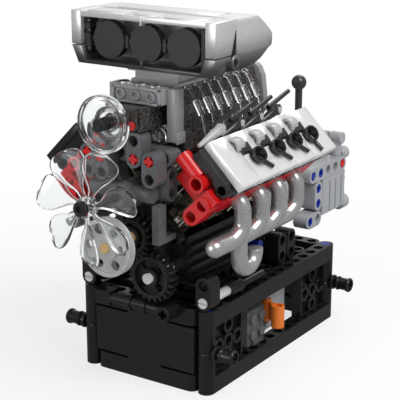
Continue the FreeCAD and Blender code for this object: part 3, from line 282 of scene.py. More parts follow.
def clear_of(name, base, roughness=0.03):
    """A clear plastic, almost smooth, with a softened edge."""
    made = bpy.data.materials.new(name)
    made.use_nodes = True
    tree = made.node_tree
    principled = tree.nodes["Principled BSDF"]
    principled.inputs["Base Color"].default_value = base
    principled.inputs["IOR"].default_value = CLEAR_IOR
    principled.inputs["Transmission Weight"].default_value = 1.0
    start = Wire(tree, None)
    cloud = start.node("ShaderNodeTexNoise", Vector=object_place(tree), Scale=140.0, Detail=2.0)
    rough = cloud * 0.05 + roughness
    rounded = start.node("ShaderNodeBevel", {"samples": 4}, Radius=EDGE)
    tree.links.new(rough.socket, principled.inputs["Roughness"])
    tree.links.new(rounded.socket, principled.inputs["Normal"])
    return made


clear = clear_of("clear_plastic", colour(0.93, 0.95, 0.96))
smoke = clear_of("smoke_plastic", colour(0.34, 0.32, 0.27))

# %% [markdown]
# The case of the supercharger is dark and smoky. Its inner works show through as
# small dim shapes, some of them red brown, so cells of noise break up its colour.

# %% Smoky case
case_smoke = finish_of("case_plastic", colour(0.02, 0.02, 0.02), 0.22)
start = Wire(case_smoke.node_tree, None)
place = object_place(case_smoke.node_tree)
cells = start.node("ShaderNodeTexVoronoi", {"feature": "F1"}, Vector=place, Scale=850.0)
warm = start.node("ShaderNodeTexNoise", Vector=place, Scale=260.0, Detail=3.0).step(0.55, 0.72)
works = cells.step(0.15, 0.9).blend(colour(0.008, 0.008, 0.008), colour(0.075, 0.072, 0.072))
set_base(case_smoke, (warm * 0.7).blend(works, colour(0.085, 0.030, 0.026)))

# %% Which node has which finish
FINISHES = {
    black: ("stand_side_beams", "stand_cross_beams", "corner_columns", "side_end_panels",
            "end_panels", "handle_axles", "handle_bushes", "deck_beams", "tie_tubes",
            "corner_brackets", "engine_cradle", "cover_clips", "plug_rods", "head_beams",
            "crankcase"),
    gear_black: ("crank_gear", "lower_gear", "fan_hub", "dish_axle"),
    disc_black: ("throttle_discs",),
    charcoal: ("front_beams", "front_arm", "connector_plug"),
    lever_black: ("gear_lever",),
    case_smoke: ("supercharger_case",),
    liner_grey: ("scoop_liner",),
    stone: ("battery_box", "gearbox_case", "gearbox_beams", "output_shaft"),
    pin_grey: ("grey_pins", "lower_gear_axle"),
    bracket_grey: ("supercharger_brackets",),
    red: ("bank_frame_right", "bank_frame_left", "red_axles"),
    blue: ("blue_pins",),
    orange: ("switch_lever",),
    tan: ("crankshaft",),
    white_pearl: ("valve_cover_right", "valve_cover_left"),
    silver: ("exhaust_headers_right", "exhaust_headers_left", "exhaust_collectors"),
    scoop_silver: ("scoop_shell",),
    neck_silver: ("scoop_neck",),
    pulley_silver: ("crank_pulley",),
    clear: ("fan", "dish_pulley", "case_ribs"),
    smoke: ("cylinder_block_right", "cylinder_block_left"),
}
FINISHES[piston_grey] = [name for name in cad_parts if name.startswith("piston_")]
for material, names in FINISHES.items():
    for name in names:
        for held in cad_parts[name].material_slots:
            held.material = material

# %% [markdown]
# ## Moulded pieces
# The curved and the small pieces are drawn again as smooth meshes in the place of
# their CAD solids: the exhausts, the fan, the dish, the stand's handles, the cups
# and rods, the valve covers, the scoop and the supercharger's ribs and plates.
# Each one rides on the body its solid rides on. Places are in grid steps, as on
# the model itself.

# %% Piece helpers
ORIGIN = Vector((0, 0, 0))


def at(x, y, z):
    """A place given in grid steps."""
    return Vector((x, y, z)) * PITCH


def piece(name, mesh, material, body, nodes, sharp=40.0):
    """Makes a bmesh the piece that stands for these nodes and rides on that body."""
    bmesh.ops.remove_doubles(mesh, verts=mesh.verts, dist=1e-7)
    bmesh.ops.recalc_face_normals(mesh, faces=mesh.faces)
    data = bpy.data.meshes.new(name)
    mesh.to_mesh(data)
    mesh.free()
    data.materials.append(material)
    data.shade_smooth()
    data.set_sharp_from_angle(angle=math.radians(sharp))
    made = bpy.data.objects.new(name, data)
    scene.collection.objects.link(made)
    if nodes:
        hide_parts(*nodes)
    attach(made, body)


def rounded_line(points, bend, steps=9):
    """The points with every inner corner rounded off."""
    line = [points[0]]
    for before, corner, after in zip(points, points[1:], points[2:]):
        back, ahead = before - corner, after - corner
        turn = math.pi - back.angle(ahead)
        room = 0.49 * min(back.length, ahead.length)
        reach = min(bend * math.tan(turn / 2), room)
        start = corner + back.normalized() * reach
        stop = corner + ahead.normalized() * reach
        for step in range(steps + 1):
            t = step / steps
            line.append(start * (1 - t) ** 2 + corner * (2 * t * (1 - t)) + stop * t ** 2)
    line.append(points[-1])
    return line


def sweep(mesh, line, radii, sides=28):
    """A closed round tube along a line, with one radius per point of it."""
    rings, normal = [], None
    for index, place in enumerate(line):
        ahead = (line[min(index + 1, len(line) - 1)] - line[max(index - 1, 0)]).normalized()
        normal = ahead.orthogonal() if normal is None else normal - ahead * normal.dot(ahead)
        normal.normalize()
        side = ahead.cross(normal)
        ring = []
        for step in range(sides):
            turn = 2 * math.pi * step / sides
            way = normal * math.cos(turn) + side * math.sin(turn)
            ring.append(mesh.verts.new(place + way * radii[index]))
        rings.append(ring)
    for one, other in zip(rings, rings[1:]):
        for step in range(sides):
            after = (step + 1) % sides
            mesh.faces.new((one[step], one[after], other[after], other[step]))
    mesh.faces.new(rings[0][::-1])
    mesh.faces.new(rings[-1])


def dome(line, radius, steps=6):
    """Rounds the first end of a tube: its line and radii from the tip on."""
    way = (line[0] - line[1]).normalized()
    turns = [math.pi / 2 * step / steps for step in range(steps)]
    tip = [line[0] + way * radius * math.cos(turn) for turn in turns]
    radii = [max(radius * math.sin(turn), 1e-5) for turn in turns]
    return tip + line, radii + [radius] * len(line)


def lathe(mesh, profile, centre, steps):
    """Turns a profile of radius and place along Y about the Y axis through the centre."""
    row = [mesh.verts.new(centre + Vector((radius, place, 0))) for radius, place in profile]
    edges = [mesh.edges.new(pair) for pair in zip(row, row[1:] + row[:1])]
    bmesh.ops.spin(mesh, geom=row + edges, cent=centre, axis=(0, 1, 0), dvec=(0, 0, 0),
                   angle=2 * math.pi, steps=steps, use_duplicate=False)


def turned(mesh, profile, matrix, steps=32):
    """Adds a ring turned about Y, from places along Y and radii, and moved by a matrix."""
    made = bmesh.new()
    lathe(made, [(radius * PITCH, far * PITCH) for far, radius in profile], ORIGIN, steps)
    bmesh.ops.transform(made, verts=made.verts, matrix=matrix)
    pour(made, mesh)


def pour(made, mesh):
    """Moves all of one bmesh into another."""
    part = bpy.data.meshes.new("part")
    made.to_mesh(part)
    made.free()
    mesh.from_mesh(part)
    bpy.data.meshes.remove(part)


def sideways(side, place):
    """Turns +Y to +X or -X and moves to a place in grid steps."""
    turn = Matrix.Rotation(-side * math.pi / 2, 4, "Z")
    return Matrix.Translation(at(*place)) @ turn


def both_sides(mesh):
    """Adds the mirror image across the middle plane."""
    twin = bmesh.ops.duplicate(mesh, geom=mesh.verts[:] + mesh.edges[:] + mesh.faces[:])["geom"]
    verts = [part for part in twin if isinstance(part, bmesh.types.BMVert)]
    bmesh.ops.scale(mesh, vec=(-1, 1, 1), verts=verts)

# %% [markdown]
# ## Exhausts
# Four headers on each side leave the head, turn down and sweep forward into one
# collector with a round nose. Under it a short tail makes a U-turn.

# %% Exhausts
HEADER_Y = [-5.3 + 2 * number for number in range(4)]
HEADER_RADIUS, LOG_RADIUS = 0.0038, 0.0041
HEADER_BEND = 0.0075
OUT, LOG_HEIGHT = 4.85, 8.9                # the collector's place, in grid steps
TAIL_Y, TAIL_Z, TAIL_BEND = -4.15, 7.7, 0.85
for side, word in ((1, "right"), (-1, "left")):
    tubes = bmesh.new()
    for y in HEADER_Y:
        run = [at(side * x, y + ahead, z) for x, ahead, z in (
            (4.7, 0, 11.4), (5.25, 0, 10.85), (5.25, 0, 9.5), (5.05, -0.8, 8.98),
            (OUT, -1.9, LOG_HEIGHT))]
        line = rounded_line(run, HEADER_BEND)
        sweep(tubes, line, [HEADER_RADIUS] * len(line))
    piece("headers_" + word, tubes, silver, "engine", ["exhaust_headers_" + word])
pipes = bmesh.new()
line = [at(OUT, y, LOG_HEIGHT) for y in (-7.5, -7.0, -6.2, -4, -2, 0.4)]
sweep(pipes, *dome(line, LOG_RADIUS))
turn_back = [at(OUT, -5.0, LOG_HEIGHT), at(OUT, -5.0, 8.3)]
for step in range(19):
    turn = math.pi * step / 18
    turn_back.append(at(OUT, TAIL_Y - TAIL_BEND * math.cos(turn),
                        TAIL_Z - TAIL_BEND * math.sin(turn)))
turn_back += [at(OUT, -3.3, 7.78), at(OUT, -3.3, 7.82)]
sweep(pipes, turn_back, [HEADER_RADIUS] * (len(turn_back) - 1) + [HEADER_RADIUS * 0.8])
both_sides(pipes)
piece("collectors", pipes, silver, "engine", ["exhaust_collectors"])

# %% [markdown]
# ## Clear fan
# Seven petals, narrow at the drum and widest at three quarters of their length.
# Each is a thin cambered sheet with a bead round its rim, which is what catches
# the light in a clear moulding.

# %% Clear fan
FAN_CENTRE = Vector((0, -12.4 * PITCH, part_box("fan_hub")[0].z / 2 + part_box("fan_hub")[1].z / 2))
FAN_TIP = 0.0256
BLADES, FIRST_BLADE = 7, -13               # how many, and where the first one points
ROOT = 0.12                                # where a blade starts, as a share of its reach
LEAN, TWIST = -58, -10                     # degrees at the drum, and added toward the tip
CAMBER, SHEET, BEAD = 0.0011, 0.00028, 0.00034
# the two rims of a blade: share of its reach, and millimetres from its middle line
LEAD = ((ROOT, -1.2), (0.3, -2.0), (0.45, -4.8), (0.6, -7.6), (0.76, -8.8), (0.9, -8.0),
        (0.97, -5.8), (1.0, -2.4))
TRAIL = ((ROOT, 1.2), (0.3, 1.6), (0.45, 3.0), (0.6, 5.2), (0.76, 6.8), (0.9, 6.4),
         (0.97, 4.4), (1.0, 1.4))
DRUM = ((0.00246, -0.0028), (0.0040, -0.0028), (0.0044, -0.0024), (0.0044, 0.0024),
        (0.0040, 0.0028), (0.00246, 0.0028))


def along(table, where):
    """A smooth value from a table of places and values."""
    for index in range(len(table) - 1):
        if where <= table[index + 1][0]:
            break
    before, after = table[max(index - 1, 0)], table[min(index + 2, len(table) - 1)]
    (x0, y0), (x1, y1) = table[index], table[index + 1]
    t = (where - x0) / (x1 - x0)
    slope0 = (y1 - before[1]) / (x1 - before[0]) * (x1 - x0)
    slope1 = (after[1] - y0) / (after[0] - x0) * (x1 - x0)
    square, cube = t * t, t ** 3
    return (y0 * (2 * cube - 3 * square + 1) + slope0 * (cube - 2 * square + t)
            + y1 * (3 * square - 2 * cube) + slope1 * (cube - square))


def petal(mesh, place):
    """One blade of the fan as a closed sheet, put in place by a matrix."""
    rows, columns = 36, 17
    sheets = []
    for face in (1, -1):
        grid = []
        for i in range(rows):
            # the rows draw together toward the tip
            far = ROOT + (1 - ROOT) * (1 - (1 - i / (rows - 1)) ** 1.6)
            lead, trail = along(LEAD, far) / 1000, along(TRAIL, far) / 1000
            lean = Matrix.Rotation(math.radians(LEAN + TWIST * far), 4, "X")
            line = []
            for j in range(columns):
                v = -math.cos(math.pi * j / (columns - 1))
                # 1 on the rim, and nearly 0 a little inside it
                rim = max(abs(v) ** 8, far ** 12)
                thick = SHEET + BEAD * rim
                edge = 0.0 if j in (0, columns - 1) or i == rows - 1 else 1.0
                camber = CAMBER * (1 - v * v) * far
                spot = Vector((far * FAN_TIP, (lead + trail) / 2 + v * (trail - lead) / 2,
                               camber + face * thick * edge))
                line.append(mesh.verts.new(place @ (lean @ spot)))
            grid.append(line)
        sheets.append(grid)
    for grid in sheets:
        for one, other in zip(grid, grid[1:]):
            for j in range(columns - 1):
                mesh.faces.new((one[j], one[j + 1], other[j + 1], other[j]))
    one, other = sheets[0][0], sheets[1][0]
    for j in range(columns - 1):
        mesh.faces.new((one[j], one[j + 1], other[j + 1], other[j]))


fan_mesh = bmesh.new()
for number in range(BLADES):
    aim = Matrix.Rotation(math.radians(360 * number / BLADES + FIRST_BLADE), 4, "Y")
    petal(fan_mesh, Matrix.Translation(FAN_CENTRE) @ aim)
lathe(fan_mesh, DRUM, FAN_CENTRE, 40)
piece("fan_petals", fan_mesh, clear, "fan", ["fan"], 60.0)

# %% [markdown]
# ## Clear dish
# A shallow bowl that opens to the front, with a stepped rim and a small hub.

# %% Clear dish
DISH_CENTRE = Vector((0, 0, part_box("dish_pulley")[0].z / 2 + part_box("dish_pulley")[1].z / 2))
DISH_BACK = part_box("dish_pulley")[1].y - 0.4 * PITCH
# radius and distance from the back, in millimetres: the back, the two rims, the bowl
DISH_PROFILE = (
    (2.46, 0.2), (4.4, 0.2), (5.2, 2.6), (7.6, 4.2), (10.0, 5.6), (11.4, 6.2),
    (12.3, 6.3), (12.6, 6.8), (12.3, 7.4), (11.6, 8.0),
    (11.6, 8.7), (12.3, 9.2), (12.6, 9.8), (12.2, 10.3), (11.4, 10.2),
    (10.2, 9.0), (8.6, 7.2), (6.4, 5.6), (4.6, 4.9), (4.2, 3.4), (3.9, 2.6), (2.46, 2.6))
dish_mesh = bmesh.new()
lathe(dish_mesh, [(radius / 1000, DISH_BACK - back / 1000) for radius, back in DISH_PROFILE],
      DISH_CENTRE, 96)
piece("dish", dish_mesh, clear, "dish_pulley", ["dish_pulley"], 50.0)

# %% [markdown]
# ## Flat mouldings
# Plates, blocks and tabs are outlines pushed along one axis, with every edge
# rounded a little.

# %% Flat helpers
def slab(mesh, axis, outline, low, high, bevel=0.0002):
    """An outline pushed along an axis from low to high, all in grid steps."""
    order = {"X": (1, 2), "Y": (0, 2), "Z": (0, 1)}[axis]
    index = "XYZ".index(axis)
    corners = []
    for pair in outline:
        spot = Vector((0, 0, 0))
        spot[order[0]], spot[order[1]], spot[index] = pair[0], pair[1], low
        corners.append(mesh.verts.new(spot * PITCH))
    face = mesh.faces.new(corners)
    pushed = bmesh.ops.extrude_face_region(mesh, geom=[face])["geom"]
    moved = [part for part in pushed if isinstance(part, bmesh.types.BMVert)]
    shift = Vector((0, 0, 0))
    shift[index] = (high - low) * PITCH
    bmesh.ops.translate(mesh, verts=moved, vec=shift)
    edges = {edge for vert in corners + moved for edge in vert.link_edges}
    bmesh.ops.bevel(mesh, geom=list(edges), offset=bevel, offset_type="OFFSET", segments=2,
                    profile=0.5, affect="EDGES", clamp_overlap=True, material=-1)


def oblong(x0, z0, x1, z1):
    """The corners of a rectangle."""
    return ((x0, z0), (x1, z0), (x1, z1), (x0, z1))


def rod(mesh, start, stop, radius, end_radius=None, sides=24, soft=0.12):
    """A straight round bar with softened ends, from place to place in grid steps."""
    end_radius = radius if end_radius is None else end_radius
    start, stop = Vector(start) * PITCH, Vector(stop) * PITCH
    way = (stop - start).normalized() * soft * PITCH * min(radius, end_radius)
    radii = [radius * (1 - soft), radius, end_radius, end_radius * (1 - soft)]
    sweep(mesh, [start, start + way, stop - way, stop], [part * PITCH for part in radii], sides)

# %% [markdown]
# ## Handles of the stand
# A short ribbed bush on a cross axle at each corner.

# %% Handles
CORNERS = ((1, -7), (1, 7), (-1, -7), (-1, 7))
HANDLE_Z = 2.5
# distance from the middle and radius, in grid steps
BUSH = ((4.5, 0.40), (4.62, 0.47), (4.72, 0.47), (4.8, 0.37), (4.92, 0.37),
        (5.0, 0.45), (5.08, 0.45), (5.14, 0.39), (5.64, 0.39),
        (5.7, 0.46), (5.82, 0.46), (5.88, 0.41), (5.885, 0.30), (5.7, 0.29))
bushes = bmesh.new()
for x, y in CORNERS:
    turned(bushes, BUSH, sideways(x, (0, y, HANDLE_Z)), 40)
piece("bushes", bushes, black, "engine", ["handle_bushes"])
axles = bmesh.new()
for x, y in CORNERS:
    low, high = sorted((x * 3.6, x * 5.8))
    for wide, tall in ((0.27, 0.11), (0.11, 0.27)):
        cross = oblong(y - wide, HANDLE_Z - tall, y + wide, HANDLE_Z + tall)
        slab(axles, "X", cross, low, high)
piece("axles", axles, black, "engine", ["handle_axles"])

# %% [markdown]
# ## Injector cups and plug rods
# On every valve cover stand four short cups with a black block behind, a thin
# lever down the cover and a bent grey tab above. Beside the cover's inner edge
# four tapered rods end in a round head, and a thin bar goes on from each.

# %% Cups, tabs and rods
CUP_Y = (-4.75, -2.69, -0.77, 1.11)
ROD_Y = (-5.63, -3.67, -1.61, 0.43)
LEVERS = ((0.55, 0.6), (0.55, 0.6), (0.55, 0.6), (0.72, 0.1))      # how far down and back
CUP_MOUTH, CUP_LONG = (6.02, 13.8), 0.82
CUP_WAY = Vector((0.82, -0.2, 0.53)).normalized()
CUP_AIM = CUP_WAY.to_track_quat("Y", "Z").to_matrix().to_4x4()
# distance along the cup and radius: the ribbed outside, the mouth, the bore
CUP_RING = (
    (-0.2, 0.36), (0.0, 0.36), (0.08, 0.42), (0.16, 0.42), (0.2, 0.37), (0.34, 0.37),
    (0.38, 0.43), (0.46, 0.43), (0.5, 0.38), (0.6, 0.40), (0.64, 0.48), (0.78, 0.49),
    (CUP_LONG, 0.47), (CUP_LONG, 0.38),
    (0.3, 0.34), (0.28, 0.001), (-0.2, 0.001))
# the block behind a cup and the bent tab, as X and Z
CUP_BLOCK = ((4.75, 14.1), (5.3, 13.55), (5.45, 13.95), (5.1, 14.35))
TAB = ((4.55, 14.48), (4.62, 14.66), (4.95, 14.66), (5.14, 14.56), (5.26, 14.36),
       (5.28, 14.02), (5.15, 14.0), (5.12, 14.3), (5.02, 14.46), (4.85, 14.52))
cups, tabs, rods, first_rod = bmesh.new(), bmesh.new(), bmesh.new(), bmesh.new()
for y, (down, back) in zip(CUP_Y, LEVERS):
    foot = at(CUP_MOUTH[0], y, CUP_MOUTH[1]) - CUP_WAY * CUP_LONG * PITCH
    turned(cups, CUP_RING, Matrix.Translation(foot) @ CUP_AIM)
    slab(cups, "Y", CUP_BLOCK, y - 0.8, y + 0.1)
    rod(cups, (5.75, y + 0.15, 13.55), (5.85 + down, y + 0.15 + back, 13.52 - down), 0.12)
    slab(tabs, "Y", TAB, y - 1.1, y - 0.35)
for number, y in enumerate(ROD_Y):
    holder = first_rod if number == 0 else rods
    rod(holder, (3.85, y - 1.9, 14.5), (3.9, y - 0.1, 15.0), 0.12, 0.31)
    rod(holder, (3.62, y, 15.05), (4.16, y, 15.05), 0.33)
    rod(rods, (3.68, y - 0.5, 15.22), (3.72, y + 1.8, 15.82), 0.15, 0.13)
    rod(tabs, (4.1, y, 15.05), (4.22, y, 15.05), 0.2)
for mesh in (cups, tabs, rods, first_rod):
    both_sides(mesh)
piece("cups", cups, cup_black, "engine", ["cover_clips"])
piece("tabs", tabs, tab_grey, "engine", [])
piece("rods", rods, cup_black, "engine", ["plug_rods"])
piece("first_rods", first_rod, tab_grey, "engine", [])

# %% [markdown]
# ## Valve covers
# Five white tiles lie side by side on each head, with fine seams between. They
# start half a grid step behind the front of the black beam below. The end of the
# left cover that faces forward is dark.

# %% Valve covers
CRANK_Z = 9
# sections over a head: distance across it and away from the crank
TILE = ((-1.0, 6.66), (2.12, 6.66), (2.12, 7.08), (2.02, 7.17), (-1.0, 7.17))
END_CAP = ((-1.0, 6.66), (2.12, 6.66), (2.12, 7.17), (-1.0, 7.17))
TILE_EDGES = (-7.35, -5.45, -3.4, -1.35, 0.7, 3.18)
TILE_GAP, TILE_BEVEL = 0.015, 0.00025


def on_bank(side, section):
    """A section of the leaning bank on one side, as X and Z."""
    return [(side * (across + up) * math.sqrt(0.5), CRANK_Z + (up - across) * math.sqrt(0.5))
            for across, up in section]


for side, word in ((1, "right"), (-1, "left")):
    tiles = bmesh.new()
    for front, back in zip(TILE_EDGES, TILE_EDGES[1:]):
        slab(tiles, "Y", on_bank(side, TILE), front + TILE_GAP, back - TILE_GAP, TILE_BEVEL)
    piece("cover_tiles_" + word, tiles, white_pearl, "engine", ["valve_cover_" + word])
end_cap = bmesh.new()
slab(end_cap, "Y", on_bank(-1, END_CAP), -7.85, -7.36)
piece("left_cover_end", end_cap, black, "engine", [])

# %% [markdown]
# ## Gearbox fittings
# A short elbow pipe stands on each side beam of the gearbox, and a round end
# closes the beam.

# %% Gearbox fittings
fittings = bmesh.new()
for x in (-1, 1):
    rod(fittings, (2.5 * x, 10.95, 9.8), (2.5 * x, 10.95, 10.95), 0.36)
    rod(fittings, (2.1 * x, 10.95, 11.05), (3.0 * x, 10.95, 11.05), 0.4)
    rod(fittings, (2.55 * x, 11.35, 9.86), (2.55 * x, 12.2, 9.86), 0.42, soft=0.4)
    rod(fittings, (2.55 * x, 11.7, 8.1), (2.55 * x, 11.95, 8.1), 0.2)
piece("gearbox_fittings", fittings, stone, "engine", [])

# %% [markdown]
# ## Scoop
# The scoop is two silver mouldings on each side: an upper cheek and a lower one
# that leans in, with a seam between. Behind a narrow dark wedge slit with a round
# eye at its foot, the rear part swells a little and closes. Small dark brackets
# stand in the mouth.

# %% Scoop
TOP, SEAM, BOTTOM = 21.12, 19.18, 18.17
FRONT, SLIT, REAR = -7.4, -5.42, -1.02
INNER, OUTER = 4.12, 4.8                   # the faces of a cheek
# the eye: distance from the middle and radius
EYE = ((4.3, 0.0), (4.62, 0.0), (4.62, 0.2), (4.82, 0.22), (4.84, 0.26), (4.86, 0.38),
       (4.82, 0.43), (4.3, 0.43))
# raised plates on the roof: middle X and Y, width and length
ROOF_PLATES = ((0, -6.5, 1.5, 1.0), (-2.6, -6.5, 2.6, 1.2), (2.6, -6.5, 2.6, 1.2),
               (0, -4.4, 6.6, 1.6))
# rings of the rear body: Y, half width, drop of the roof and lift of the floor
STATIONS = (
    (SLIT + 0.06, 4.62, 0.0, 0.0), (SLIT + 0.12, 4.74, 0.0, 0.0), (SLIT + 0.5, 4.84, 0.0, 0.0),
    (-4.0, 4.92, 0.0, 0.02), (-3.15, 4.90, 0.04, 0.08), (-2.95, 4.88, 0.14, 0.12),
    (-2.2, 4.78, 0.56, 0.26), (-1.5, 4.64, 0.95, 0.45), (-1.2, 4.55, 1.12, 0.58),
    (-1.08, 4.4, 1.3, 0.74), (REAR, 4.2, 1.5, 0.95))
scoop = bmesh.new()
slab(scoop, "Z", oblong(-4.15, FRONT, 4.15, SLIT), TOP - 0.34, TOP - 0.06)
slab(scoop, "Z", oblong(-4.15, FRONT + 0.02, 4.15, SLIT), BOTTOM, BOTTOM + 0.22)
upper = ((FRONT, SEAM + 0.03), (SLIT - 0.42, SEAM + 0.03), (SLIT - 0.02, TOP - 0.62),
         (SLIT + 0.1, TOP - 0.62), (SLIT + 0.1, TOP - 0.03), (FRONT, TOP - 0.03))
for x in (-1, 1):
    low, high = sorted((INNER * x, OUTER * x))
    slab(scoop, "X", upper, low, high, 0.0004)
    lower = ((INNER * x, SEAM - 0.02), (3.72 * x, BOTTOM), (4.35 * x, BOTTOM),
             (OUTER * x, SEAM - 0.02))
    slab(scoop, "Y", lower, FRONT, SLIT - 0.42, 0.0003)
    turned(scoop, EYE, sideways(x, (0, SLIT - 0.04, 18.76)))
for x, y, wide, long in ROOF_PLATES:
    plate = oblong(x - wide / 2, y - long / 2, x + wide / 2, y + long / 2)
    slab(scoop, "Z", plate, TOP - 0.08, TOP)
# the small clips in the middle of the front rim
for low, high in ((TOP - 0.55, TOP - 0.02), (BOTTOM + 0.02, BOTTOM + 0.5)):
    slab(scoop, "X", oblong(FRONT - 0.04, low, FRONT + 0.3, high), -0.06, 0.06, 0.0001)
# rear body: rings from the slit to the tail, each with eight points on a side
rear = bmesh.new()
rings = []
for y, wide, drop, lift in STATIONS:
    top, foot = TOP - 0.04 - drop, BOTTOM + lift
    seam = min(SEAM, top - 0.2)
    section = ((wide - 0.5, top), (wide - 0.12, top - 0.03), (wide - 0.02, top - 0.16),
               (wide, (top + seam) / 2), (wide - 0.03, seam), (wide - 0.12, seam - 0.12),
               (wide - 0.42, foot + 0.05), (wide - 0.5, foot))
    whole = [(x, z) for x, z in section] + [(-x, z) for x, z in reversed(section)]
    rings.append([rear.verts.new(at(x, y, z)) for x, z in whole])
for one, other in zip(rings, rings[1:]):
    for step in range(len(one)):
        after = (step + 1) % len(one)
        rear.faces.new((one[step], one[after], other[after], other[step]))
rear.faces.new(rings[0][::-1])
rear.faces.new(rings[-1])
pour(rear, scoop)
piece("scoop_body", scoop, scoop_silver, "engine", ["scoop_shell"], 32.0)
slit = bmesh.new()
wedge = ((SLIT - 0.34, SEAM + 0.06), (SLIT, TOP - 0.66), (SLIT + 0.1, TOP - 0.66),
         (SLIT + 0.1, SEAM - 0.4), (SLIT - 0.34, SEAM - 0.4))
slab(slit, "X", wedge, 4.4, 4.765)
both_sides(slit)
piece("scoop_slit", slit, black, "engine", [])
brackets = bmesh.new()
for z in (18.8, 19.82, 20.38):
    slab(brackets, "Z", oblong(-4.1, -7.15, -3.64, -6.4), z, z + 0.26)
for x in (-1.25, 1.25):
    slab(brackets, "Y", oblong(x - 0.13, 19.1, x + 0.13, 20.0), -6.3, -5.6)
piece("inner_brackets", brackets, black, "engine", [])

# %% [markdown]
# ## Supercharger dressing
# Seven clear ribs lean on each shoulder of the case. Each has a wide flat head
# like a small window, a thin stem and a round foot. A grey plate with three hollow
# studs closes the front, and a narrow rounded plate the back.

# %% Ribs and plates
RIB_Y = [-5.6 + number for number in range(7)]
# a rib's hooked top and its window, as X and Z
RIB_HOOK = ((1.62, 17.05), (1.66, 17.24), (1.95, 17.2), (2.42, 16.42), (2.3, 16.36),
            (1.85, 17.04))
RIB_WINDOW = ((2.26, 16.46), (2.4, 16.52), (2.84, 15.72), (2.7, 15.66))
ribs = bmesh.new()
for y in RIB_Y:
    slab(ribs, "Y", RIB_HOOK, y - 0.1, y + 0.1)
    slab(ribs, "Y", RIB_WINDOW, y - 0.27, y + 0.27, 0.0003)
    rod(ribs, (2.76, y, 15.72), (3.04, y, 14.5), 0.08, 0.07, 12)
    rod(ribs, (2.98, y, 14.4), (3.22, y, 14.4), 0.17, 0.14, 16)
both_sides(ribs)
# three studs on top of the front plate, and a round end low on the case
for x in (-1, 0, 1):
    rod(ribs, (x, -7.6, 17.36), (x, -7.6, 17.56), 0.32)
rod(ribs, (1.1, -7.4, 14.65), (1.1, -6.52, 14.65), 0.5)
piece("clear_ribs", ribs, clear, "engine", ["case_ribs"])
# the front plate's edges, its rim's thickness, a stud, and the plate at the back
LEFT, LOW, RIGHT, HIGH, RIM = -1.5, 16.46, 1.65, 17.36, 0.12
STUD_X, STUD_Z = (-0.95, 0.05, 1.05), 16.9
STUD = ((-7.9, 0.31), (-8.06, 0.31), (-8.1, 0.28), (-8.1, 0.2), (-8.0, 0.17), (-7.9, 0.17))
BACK_PLATE = ((-1.9, 14.2), (1.9, 14.2), (2.25, 14.6), (2.0, 16.6), (1.75, 17.1), (1.5, 17.3),
              (-1.5, 17.3), (-1.75, 17.1), (-2.0, 16.6), (-2.25, 14.6))
plates = bmesh.new()
slab(plates, "Y", oblong(LEFT, LOW, RIGHT, HIGH), -7.96, -7.1)
for edges in ((LEFT, LOW, RIGHT, LOW + RIM), (LEFT, HIGH - RIM, RIGHT, HIGH),
              (LEFT, LOW, LEFT + RIM, HIGH), (RIGHT - RIM, LOW, RIGHT, HIGH)):
    slab(plates, "Y", oblong(*edges), -8.1, -7.9, 0.00015)
for x in STUD_X:
    turned(plates, STUD, Matrix.Translation(at(x, 0, STUD_Z)))
sides = bmesh.new()
slab(sides, "Y", oblong(1.66, 14.4, 2.2, 17.3), -7.4, -6.55)
slab(sides, "X", oblong(-7.35, 14.3, -6.6, 14.95), 2.2, 2.34)
both_sides(sides)
slab(sides, "Y", BACK_PLATE, 2.0, 2.5, 0.0005)
pour(sides, plates)
piece("case_plates", plates, bracket_grey, "engine", ["supercharger_brackets"])

# %% [markdown]
# ## Studio
# A pale floor that runs out of sight, a white surround and four soft lamps: a
# strong key high on the right, a low one in front that reaches into the scoop, and
# two behind, one high and one low, for the edges. The floor and the surround are
# white to the camera, also through clear plastic, and dimmer in reflections, so
# glossy plastic keeps its dark sides.

# %% Studio
scene.view_settings.view_transform = "Standard"
WHITE, FLOOR_GREY = colour(1, 1, 1), colour(0.82, 0.82, 0.82)
DIFFUSE_WORLD, GLOSSY_WORLD, GLOSSY_FLOOR = 0.42, 0.26, 0.22
NEAR, FAR = 0.10, 0.34                     # between them the floor goes on to white
WHITE_NEAR, WHITE_GAIN = 0.7, 0.3          # the white in the floor's look, and what is added


def rays(tree):
    """Masks of the rays that are direct, glossy and through clear plastic."""
    return [Wire(tree, None).node("ShaderNodeLightPath", output=kind) for kind in (0, 3, 6)]


world = bpy.data.worlds.new("studio")
scene.world = world
world.use_nodes = True
wires = Wire(world.node_tree, None)
direct, glossy, through = rays(world.node_tree)
dim, dull, bright = (wires.node("ShaderNodeBackground", Color=WHITE, Strength=strength)
                     for strength in (DIFFUSE_WORLD, GLOSSY_WORLD, 1.0))
shown = wires.node("ShaderNodeMixShader", _0=glossy, _1=dim, _2=dull)
shown = wires.node("ShaderNodeMixShader", _0=wires.maths("MAXIMUM", direct, through),
                   _1=shown, _2=bright)
world.node_tree.links.new(shown.socket, world.node_tree.nodes["World Output"].inputs["Surface"])

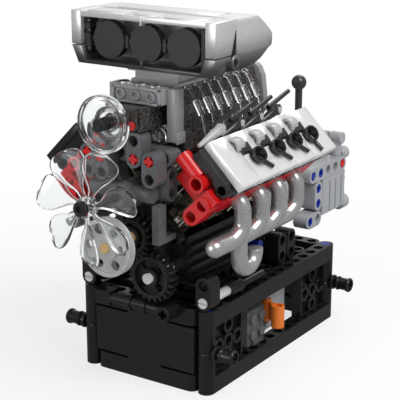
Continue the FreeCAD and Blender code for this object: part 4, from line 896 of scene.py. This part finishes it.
sheet = bmesh.new()
bmesh.ops.create_grid(sheet, x_segments=1, y_segments=1, size=3.0)
bmesh.ops.translate(sheet, verts=sheet.verts, vec=(0, 0, cad_box[0].z))
floor_mesh = bpy.data.meshes.new("floor")
sheet.to_mesh(floor_mesh)
sheet.free()
floor = bpy.data.objects.new("floor", floor_mesh)
scene.collection.objects.link(floor)
pale = bpy.data.materials.new("pale_floor")
pale.use_nodes = True
matte = pale.node_tree.nodes["Principled BSDF"]
matte.inputs["Base Color"].default_value = FLOOR_GREY
matte.inputs["Roughness"].default_value = 0.8
matte.inputs["Specular IOR Level"].default_value = 0.1
wires = Wire(pale.node_tree, None)
direct, glossy, through = rays(pale.node_tree)
place = object_place(pale.node_tree)
far = wires.node("ShaderNodeVectorMath", {"operation": "LENGTH"}, output=1, _0=place)
far = far.step(NEAR, FAR)
plain, dull = (wires.node("ShaderNodeEmission", Color=WHITE, Strength=strength)
               for strength in (1.0, GLOSSY_FLOOR))
white_share = wires.maths("MAXIMUM", direct, through) * (far * WHITE_GAIN + WHITE_NEAR)
seen = wires.node("ShaderNodeMixShader", _0=white_share,
                  _1=Wire(pale.node_tree, matte.outputs[0]), _2=plain)
seen = wires.node("ShaderNodeMixShader", _0=glossy * (1.0 - through), _1=seen, _2=dull)
pale.node_tree.links.new(seen.socket, pale.node_tree.nodes["Material Output"].inputs["Surface"])
floor_mesh.materials.append(pale)


def lamp(name, azimuth, elevation, distance, size, power):
    """A square soft lamp that looks at the model."""
    light = bpy.data.lights.new(name, "AREA")
    light.size = size
    light.energy = power
    made = bpy.data.objects.new(name, light)
    scene.collection.objects.link(made)
    way = toward(math.radians(azimuth), math.radians(elevation))
    made.location = AIM + distance * way
    made.rotation_mode = "QUATERNION"
    made.rotation_quaternion = (-way).to_track_quat("-Z", "Y")


lamp("key", 78, 52, 0.9, 0.5, 5.8)
lamp("front", -15, 14, 1.0, 0.5, 2.4)
lamp("back", 190, 50, 1.0, 0.6, 3.0)
lamp("rear", 213, 17, 1.3, 0.7, 0.85)
